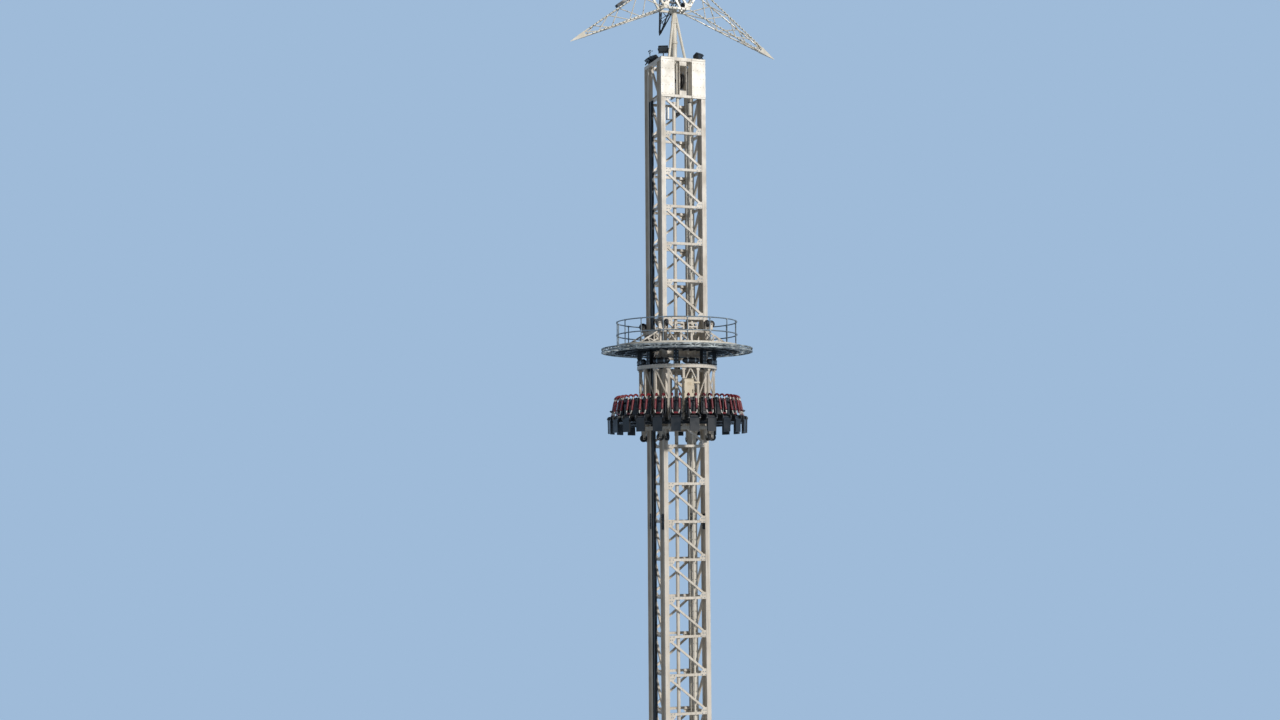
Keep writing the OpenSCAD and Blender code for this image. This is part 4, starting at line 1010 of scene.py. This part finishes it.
# feet of the sloping struts: a plate with two bolts in front of each
strut_foot = start_block("strut_feet", (-0.055, -0.020, DECK_Z + 0.0005), (0.055, 0.075, DECK_Z + 0.010))
soften(strut_foot, 0.002)
strut_bolts = copy_to(hex_bolt("strut_bolts", 0.024, 0.014),
                      [moved(x, 0.050, DECK_Z + 0.010) for x in (-0.03, 0.03)])
strut_foot = join("strut_feet", [strut_foot, strut_bolts])
places = [turn @ moved(x, -STRUT_OUT, 0) for turn in round_mast(4, 0) for x in (-0.7, 0.7)]
fit(copy_to(strut_foot, places), "carriage", cream_paint)


# Outer ring: radial spokes under the deck and, outside it, two ring trusses of weathered galvanised
# bar with a zigzag, spliced in eight places.

OUTER_R = 2.700
SPOKE_LOW = 20.930
RING_H = 0.150

# the spokes under the deck are drawn near-black, painted shade under the deck; from the deck's edge outwards
# all is zinc
ring_steel, tree, shader, place = new_material("painted_shade_and_zinc", 0.5, 0.2)
flat = add_node(tree, "Mapping", {"Scale": (1.0, 1.0, 0.0)}, {"Vector": place})
reach = add_node(tree, "VectorMath", {"operation": "LENGTH"}, {0: flat.outputs[0]})
outside = add_node(tree, "Math", {"operation": "GREATER_THAN", 1: RAIL_R + 0.075},
                   {0: reach.outputs["Value"]})
cloud = add_node(tree, "TexNoise", {"Scale": 3.1, "Detail": 6.0, "Roughness": 0.65}, {"Vector": place})
cloud = add_node(tree, "MapRange", {"From Min": 0.36, "From Max": 0.64}, {"Value": cloud.outputs[0]})
zinc = add_node(tree, "Mix", {"data_type": "RGBA", 6: linear("#BCC4C5"), 7: linear("#5B6367")},
                {0: cloud.outputs[0]})
# painted shade: near-black for everything inside the deck's edge, where the deck shades the spokes
primer = add_node(tree, "Mix", {"data_type": "RGBA", 6: linear("#1E2022"), 7: linear("#34373A")},
                  {0: cloud.outputs[0]})
base = add_node(tree, "Mix", {"data_type": "RGBA"},
                {0: outside.outputs[0], 6: primer.outputs[2], 7: zinc.outputs[2]})
rough = add_node(tree, "MapRange", {"To Min": 0.42, "To Max": 0.68}, {"Value": cloud.outputs[0]})
# zinc runs are 20 mm across
lumps = add_node(tree, "TexNoise", {"Scale": 60.0, "Detail": 3.0}, {"Vector": place})
lumps = add_node(tree, "Bump", {"Strength": 0.3, "Distance": 0.002}, {"Height": lumps.outputs[0]})
link_finish(tree, shader, base, rough, lumps)
finish_node("outer_ring", ring_steel)
splice_rows = (0.019, RING_H - 0.019)
splice = copy_to(start_block("ring_splices", (-0.008, -0.11, -0.014), (0.002, 0.11, 0.014)),
                 [moved(0, 0, z) for z in splice_rows])
soften(splice, 0.003)
bolts = copy_to(hex_bolt("ring_bolts", 0.020, 0.011),
                [at((-0.008, y, z), (-1, 0, 0)) for y in (-0.08, -0.03, 0.03, 0.08) for z in splice_rows])
splice = join("ring_splices", [splice, bolts])
# each a quarter of a panel beside a spoke, clear of the ring's posts
places = [turn @ moved(OUTER_R - 0.0605, 0, SPOKE_LOW) for turn in round_mast(8, 1 / 12)]
fit(copy_to(splice, places), "carriage", galvanised)


# Machinery between deck and drum: black hanger blocks on the flange ring, air tanks for the brakes
# strapped between them, and the pipe that joins the tanks.

FLANGE_TOP = 20.440
FLANGE_LOW = 20.320
FLANGE_R = 1.425
TANK_R = 0.105
TANK_MID_R = 1.3425
TANK_Z = 20.5652
TANK_STRAP_Y = 0.1433
BLOCK_BOLTS_Z = (20.50, 20.62, 20.74, 20.86)

finish_node("hanger_blocks", black_coat)
finish_node("flange_ring", cream_paint)

block_bolts = copy_to(hex_bolt("hanger_bolts", 0.036, 0.020),
                      [at((FLANGE_R - 0.020, y, z), (1, 0, 0))
                       for y in (-0.055, 0.055) for z in BLOCK_BOLTS_Z])
fit(copy_to(block_bolts, round_mast(8)), "carriage", galvanised)

tank_strap = start_rod("tank_straps", (0, -0.020, 0), (0, 0.020, 0), TANK_R + 0.003, sides=28)
pick_faces(tank_strap, "+y -y")
bpy.ops.mesh.inset(thickness=0.0025)
bpy.ops.mesh.delete(type="FACE")
close_edit()
valve = start_rod("valve", (0, 0, TANK_R - 0.003), (0, 0, TANK_R + 0.050), 0.014, 12, tip=0.010)
valve_nut = copy_to(hex_bolt("valve_nut", 0.034, 0.014), [moved(0, 0, TANK_R - 0.001)])
tanks = [turn @ moved(TANK_MID_R, 0, TANK_Z) for turn in round_mast(8, 0)]
straps = [tank @ moved(0, y, 0) for tank in tanks for y in (-TANK_STRAP_Y, TANK_STRAP_Y)]
fit(copy_to(tank_strap, straps), "carriage", galvanised)
fit(copy_to(join("tank_valves", [valve, valve_nut]), tanks), "carriage", cast_iron)

ring_bolt = hex_bolt("flange_bolts", 0.036, 0.020)
places = [turn @ at((FLANGE_R - 0.035, 0, z), (0, 0, side))
          for turn in round_mast(64) for z, side in ((FLANGE_LOW, -1), (FLANGE_TOP, 1))]
fit(copy_to(ring_bolt, places), "carriage", galvanised)


# Drum: sixteen square posts and their diagonals hang from the flange ring, with node plates and
# bolts at the top, and carry the seat ring at the foot.

POST_R = 1.330
POST_W = 0.080
DRUM_POSTS = 16
PLATE_R = POST_R + POST_W / 2
PLATE_T = 0.008
NODES_Z = (FLANGE_LOW - 0.006, 18.88)

finish_node("drum_frame", cream_paint)
node_plate = start_block("drum_node_plates", (PLATE_R, -0.095, -0.10), (PLATE_R + PLATE_T, 0.095, 0))
pick_faces(node_plate, "-z")
bpy.ops.transform.resize(value=(1, 0.5, 1))
close_edit()
soften(node_plate, 0.003)
bolts = copy_to(hex_bolt("node_bolts", 0.022, 0.012), [at((PLATE_R + PLATE_T, y, z), (1, 0, 0))
                for y, z in ((-0.062, -0.03), (0.062, -0.03), (0, -0.07))])
node_plate = join("drum_node_plates", [node_plate, bolts])
places = [turn @ moved(0, 0, z) for turn in round_mast(DRUM_POSTS) for z in NODES_Z]
fit(copy_to(node_plate, places), "carriage", cream_paint)


# Cabinet: sheet-steel control cabinet on two rails in front of the drum, its door on three hinges,
# with a swing handle, louvres and cable glands, and a conduit down to the seat ring.

CABINET_W = 0.370
CABINET_H = 0.900
CONDUITS_X = (0.07, 0.14, 0.21, 0.28)


def on_cabinet(x, y, z):
    """A point measured from the lower left front corner of the cabinet."""
    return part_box("drum_cabinet")[0] + Vector((x, y, z))


cabinet_paint = weathered_paint("cabinet_powder_coat", "#E8DCC6", "#D8CBB4", 0.35, 0.3)
finish_node("drum_cabinet", cabinet_paint)
door = start_block("cabinet_door", on_cabinet(0.014, -0.016, 0.014),
                   on_cabinet(CABINET_W - 0.014, -0.0005, CABINET_H - 0.014))
press(door, "-y", 0.024, (0, 0.005, 0))
soften(door, 0.004, 2)
louvre = start_block("louvre", (-0.085, -0.010, -0.006), (0.085, 0, 0.006))
pick_faces(louvre, "+z")
bpy.ops.transform.translate(value=(0, 0.008, 0.004))
close_edit()
copy_to(louvre, [moved(*on_cabinet(CABINET_W / 2, -0.011, base + 0.024 * k))
                 for base in (0.10, 0.68) for k in range(5)])
hood = start_block("hood", on_cabinet(-0.012, -0.034, CABINET_H + 0.001),
                   on_cabinet(CABINET_W + 0.012, 0.205, CABINET_H + 0.012))
soften(hood, 0.004)
fit(join("cabinet_door", [door, louvre, hood]), "carriage", cabinet_paint)
handle = start_block("handle", on_cabinet(CABINET_W - 0.062, -0.034, 0.40),
                     on_cabinet(CABINET_W - 0.040, -0.015, 0.54))
soften(handle, 0.007, 2)
hinge_pins = [start_rod("hinge", on_cabinet(0.008, -0.010, z), on_cabinet(0.008, -0.010, z + 0.07), 0.009, 12)
              for z in (0.08, 0.415, 0.75)]
glands = [start_rod("gland", on_cabinet(x, 0.11, -0.035), on_cabinet(x, 0.11, 0.004), 0.017, 12, tip=0.021)
          for x in CONDUITS_X]
fit(join("cabinet_fittings", [handle] + hinge_pins + glands), "carriage", black_coat)


def bent_tube(name, points, radius, sides=3):
    """A round tube through the points, closed at its ends. Its section has 4 + 4 x sides corners."""
    curve = bpy.data.curves.new(name, "CURVE")
    curve.dimensions = "3D"
    curve.bevel_depth = radius
    curve.bevel_resolution = sides
    curve.use_fill_caps = True
    line = curve.splines.new("POLY")
    line.points.add(len(points) - 1)
    for knot, point in zip(line.points, points):
        knot.co = (*point, 1.0)
    tube = bpy.data.objects.new(name, curve)
    scene.collection.objects.link(tube)
    bpy.ops.object.select_all(action="DESELECT")
    tube.select_set(True)
    bpy.context.view_layer.objects.active = tube
    bpy.ops.object.convert(target="MESH")
    return bpy.context.object


conduits = []
for x in CONDUITS_X:
    top, end = on_cabinet(x, 0.11, -0.030), on_cabinet(x, 0, -0.250)
    end.y = -POST_R + 0.10
    bend = [top + Vector((0, 0.10 * (1 - math.cos(a)), -0.12 - 0.10 * math.sin(a)))
            for a in [math.radians(15 * k) for k in range(7)]]
    conduits.append(bent_tube("conduit", [top] + bend + [end], 0.011, 1))
fit(join("cabinet_conduits", conduits), "carriage", cable_jacket)


# Seats: twenty-four buckets, each a black moulded shell bolted to a flat of the seat ring, with a
# stuffed cushion, back pad and headrest in charcoal vinyl.

SEATS = 24
SEAT_R = 2.020
PAN_Z = 18.480
BACK_H = 0.760

seat_turns = [turn @ moved(0, -SEAT_R, PAN_Z) for turn in round_mast(SEATS)]
# glass-filled plastic with a 1 mm leather grain, drawn at 5 mm
seat_shell = smooth_plastic("moulded_shell_plastic", "#17181A", "#2A2B2D", 0.38, 190.0, 0.001)
finish_node("seat_ring", black_coat)
for name in ("seats_front", "seats_left", "seats_rear", "seats_right"):
    finish_node(name, seat_shell)

pad_vinyl = smooth_plastic("charcoal_vinyl", "#2B2A2C", "#3E3C3E", 0.5, 240.0, 0.0012)
harness_vinyl = smooth_plastic("maroon_vinyl", "#7E1D24", "#5F1A20", 0.42, 240.0, 0.0012)


def stuffed_pad(name, low, high, cell, give, rests, channels=()):
    """A pad swollen by the cloth simulation, flat where it rests, with sewn channels across it."""
    pad = start_block(name, low, high)
    soften(pad, min(high[i] - low[i] for i in range(3)) * 0.3, 3)
    apply_modifier(pad, "REMESH", mode="VOXEL", voxel_size=cell)
    before = [v.co.copy() for v in pad.data.vertices]
    after = before
    cloth = pad.modifiers.new("stuffing", "CLOTH")
    cloth.settings.quality = 4
    cloth.settings.use_pressure = True
    cloth.settings.uniform_pressure_force = 4
    cloth.settings.effector_weights.gravity = 0
    for step in range(1, 21):
        scene.frame_set(step)
    swollen = pad.evaluated_get(bpy.context.evaluated_depsgraph_get())
    after = [v.co.copy() for v in swollen.data.vertices]
    pad.modifiers.remove(cloth)
    scene.frame_set(1)
    axis, side, level = rests
    for vertex, start, end in zip(pad.data.vertices, before, after):
        move = end - start
        if move.length > give:
            move *= give / move.length
        place = start + move
        for along, where, depth in channels:
            sunk = depth * math.exp(-((place[along] - where) / 0.012) ** 2)
            place[axis] += sunk * side
        if (place[axis] - level) * side > 0:
            place[axis] = level
        vertex.co = place
    bpy.ops.object.select_all(action="DESELECT")
    pad.select_set(True)
    bpy.context.view_layer.objects.active = pad
    bpy.ops.object.shade_smooth()
    return pad


def for_every_seat(piece, material, stands_for=None):
    """The piece on each seat, every copy with a mesh of its own."""
    for k, turn in enumerate(seat_turns):
        one = piece.copy()
        one.data = piece.data.copy()
        one.data.transform(turn)
        one.name = "%s_%02d" % (piece.name, k + 1)
        scene.collection.objects.link(one)
        fit(one, "carriage", material)
        if stands_for:
            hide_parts(stands_for)
    bpy.data.objects.remove(piece)


cushion = stuffed_pad("seat_cushion", (-0.150, -0.420, 0.062), (0.150, -0.035, 0.105), 0.015, 0.014,
                      (2, -1, 0.060), [(1, -0.16, 0.010), (1, -0.29, 0.010)])
for_every_seat(cushion, pad_vinyl)
back_pad = stuffed_pad("back_pad", (-0.150, -0.048, 0.135), (0.150, -0.004, 0.600), 0.015, 0.014,
                       (1, 1, -0.001), [(2, 0.28, 0.010), (2, 0.43, 0.010)])
for_every_seat(back_pad, pad_vinyl)
headrest = stuffed_pad("headrest", (-0.135, -0.060, 0.625), (0.135, -0.006, 0.785), 0.014, 0.012,
                       (1, 1, -0.001))
for_every_seat(headrest, pad_vinyl)

# rounded cappings along the bolsters' front edges, and the bracket behind each shell
edge = ((-0.075, 0.70), (-0.078, 0.46), (-0.078, 0.23), (-0.098, 0.185), (-0.128, 0.165), (-0.280, 0.152),
        (-0.430, 0.142), (-0.452, 0.120), (-0.464, 0.060))
caps = [bent_tube("cap", [(x, y, z) for y, z in edge], 0.024, 2) for x in (-0.1925, 0.1925)]
capping = join("bolster_cappings", caps)
soften(capping, 0.001)
for_every_seat(capping, seat_shell)

bracket = start_block("seat_brackets", (-0.150, 0.071, -0.060), (0.150, 0.128, 0.055))
pick_faces(bracket, "+z")
bpy.ops.transform.resize(value=(0.7, 1, 1))
bpy.ops.mesh.inset(thickness=0.016)
bpy.ops.transform.translate(value=(0, 0, -0.030))
close_edit()
soften(bracket, 0.004)
heads = copy_to(hex_bolt("heads", 0.024, 0.013),
                [at((x, 0.010, -0.070), (0, 0, -1)) for x in (-0.12, -0.04, 0.04, 0.12)])
for_every_seat(join("seat_brackets", [bracket, heads]), dark_steel)


# Harnesses: a pale bent tube over both shoulders and across the lap, on a hinge at the top of the
# shell, with maroon moulded pads at the chest, black grips and a locking cylinder behind the seat.

TUBE_R = 0.021
ARM_X = 0.125
BEND_Y = -0.090
BEND_R = 0.120
FREE = (0, 1, 9.0)  # a pad that rests on nothing


def shoulder_bend(x, first, last, steps):
    """Points of a tube's bend over a shoulder, angles in degrees from +Y towards +Z."""
    for k in range(steps + 1):
        a = math.radians(first + (last - first) * k / steps)
        yield Vector((x, BEND_Y + BEND_R * math.cos(a), BACK_H + BEND_R * math.sin(a)))


# powder-coated tube, light grey with darker patches at random
harness_tube = smooth_plastic("pale_powder_coat", "#D5D3CC", "#B9B7B0", 0.3, 120.0, 0.0006)

loop = [Vector((-ARM_X, 0.030, BACK_H - 0.070)), *shoulder_bend(-ARM_X, 0, 180, 12),
        Vector((-ARM_X, -0.300, 0.310)), Vector((-ARM_X + 0.012, -0.314, 0.235)),
        Vector((-ARM_X + 0.045, -0.320, 0.212))]
loop += [Vector((-point.x, point.y, point.z)) for point in reversed(loop)]
tube = bent_tube("harness_tubes", loop, TUBE_R, 2)
bpy.ops.object.shade_smooth_by_angle(angle=0.9)
for_every_seat(tube, harness_tube, stands_for="harnesses")

pads = []
for x in (-ARM_X, ARM_X):
    pad = stuffed_pad("chest_pad", (-0.034, -0.034, -0.200), (0.034, 0.034, 0.200), 0.013, 0.010, FREE)
    tilt = turned(-math.degrees(math.atan2(0.090, 0.450)), "X")  # along the tube
    pads.append(copy_to(pad, [moved(x, -0.252, 0.520) @ tilt]))
for_every_seat(join("chest_pads", pads), harness_vinyl, stands_for="harnesses")

lap = stuffed_pad("lap_pad", (-0.080, -0.352, 0.180), (0.080, -0.292, 0.244), 0.012, 0.008, FREE)
for_every_seat(lap, harness_vinyl, stands_for="harnesses")

shoulder = [bent_tube("shoulder", list(shoulder_bend(x, 35, 165, 8)), 0.034, 2) for x in (-ARM_X, ARM_X)]
for_every_seat(join("shoulder_sleeves", shoulder), harness_vinyl,
               stands_for="harnesses")

hinge = start_block("hinge_block", (-0.165, 0.006, BACK_H - 0.110), (0.165, 0.062, BACK_H - 0.030))
pick_faces(hinge, "+x -x")
bpy.ops.mesh.inset(thickness=0.014)
bpy.ops.mesh.extrude_region_shrink_fatten(TRANSFORM_OT_shrink_fatten={"value": 0.010})
close_edit()
soften(hinge, 0.006, 2)
cylinders = []
for x in (-0.075, 0.075):
    cylinders += [start_rod("cylinder", (x, 0.092, 0.120), (x, 0.092, 0.420), 0.022, 18),
                  start_rod("rod", (x, 0.092, 0.420), (x, 0.070, BACK_H - 0.080), 0.010, 12),
                  start_rod("eye", (x - 0.018, 0.092, 0.110), (x + 0.018, 0.092, 0.110), 0.022, 14)]
grips = [start_rod("grip", (x, -0.320, 0.330), (x, -0.385, 0.375), 0.016, 12) for x in (-ARM_X, ARM_X)]
for_every_seat(join("harness_hinges", [hinge] + cylinders + grips), black_coat)
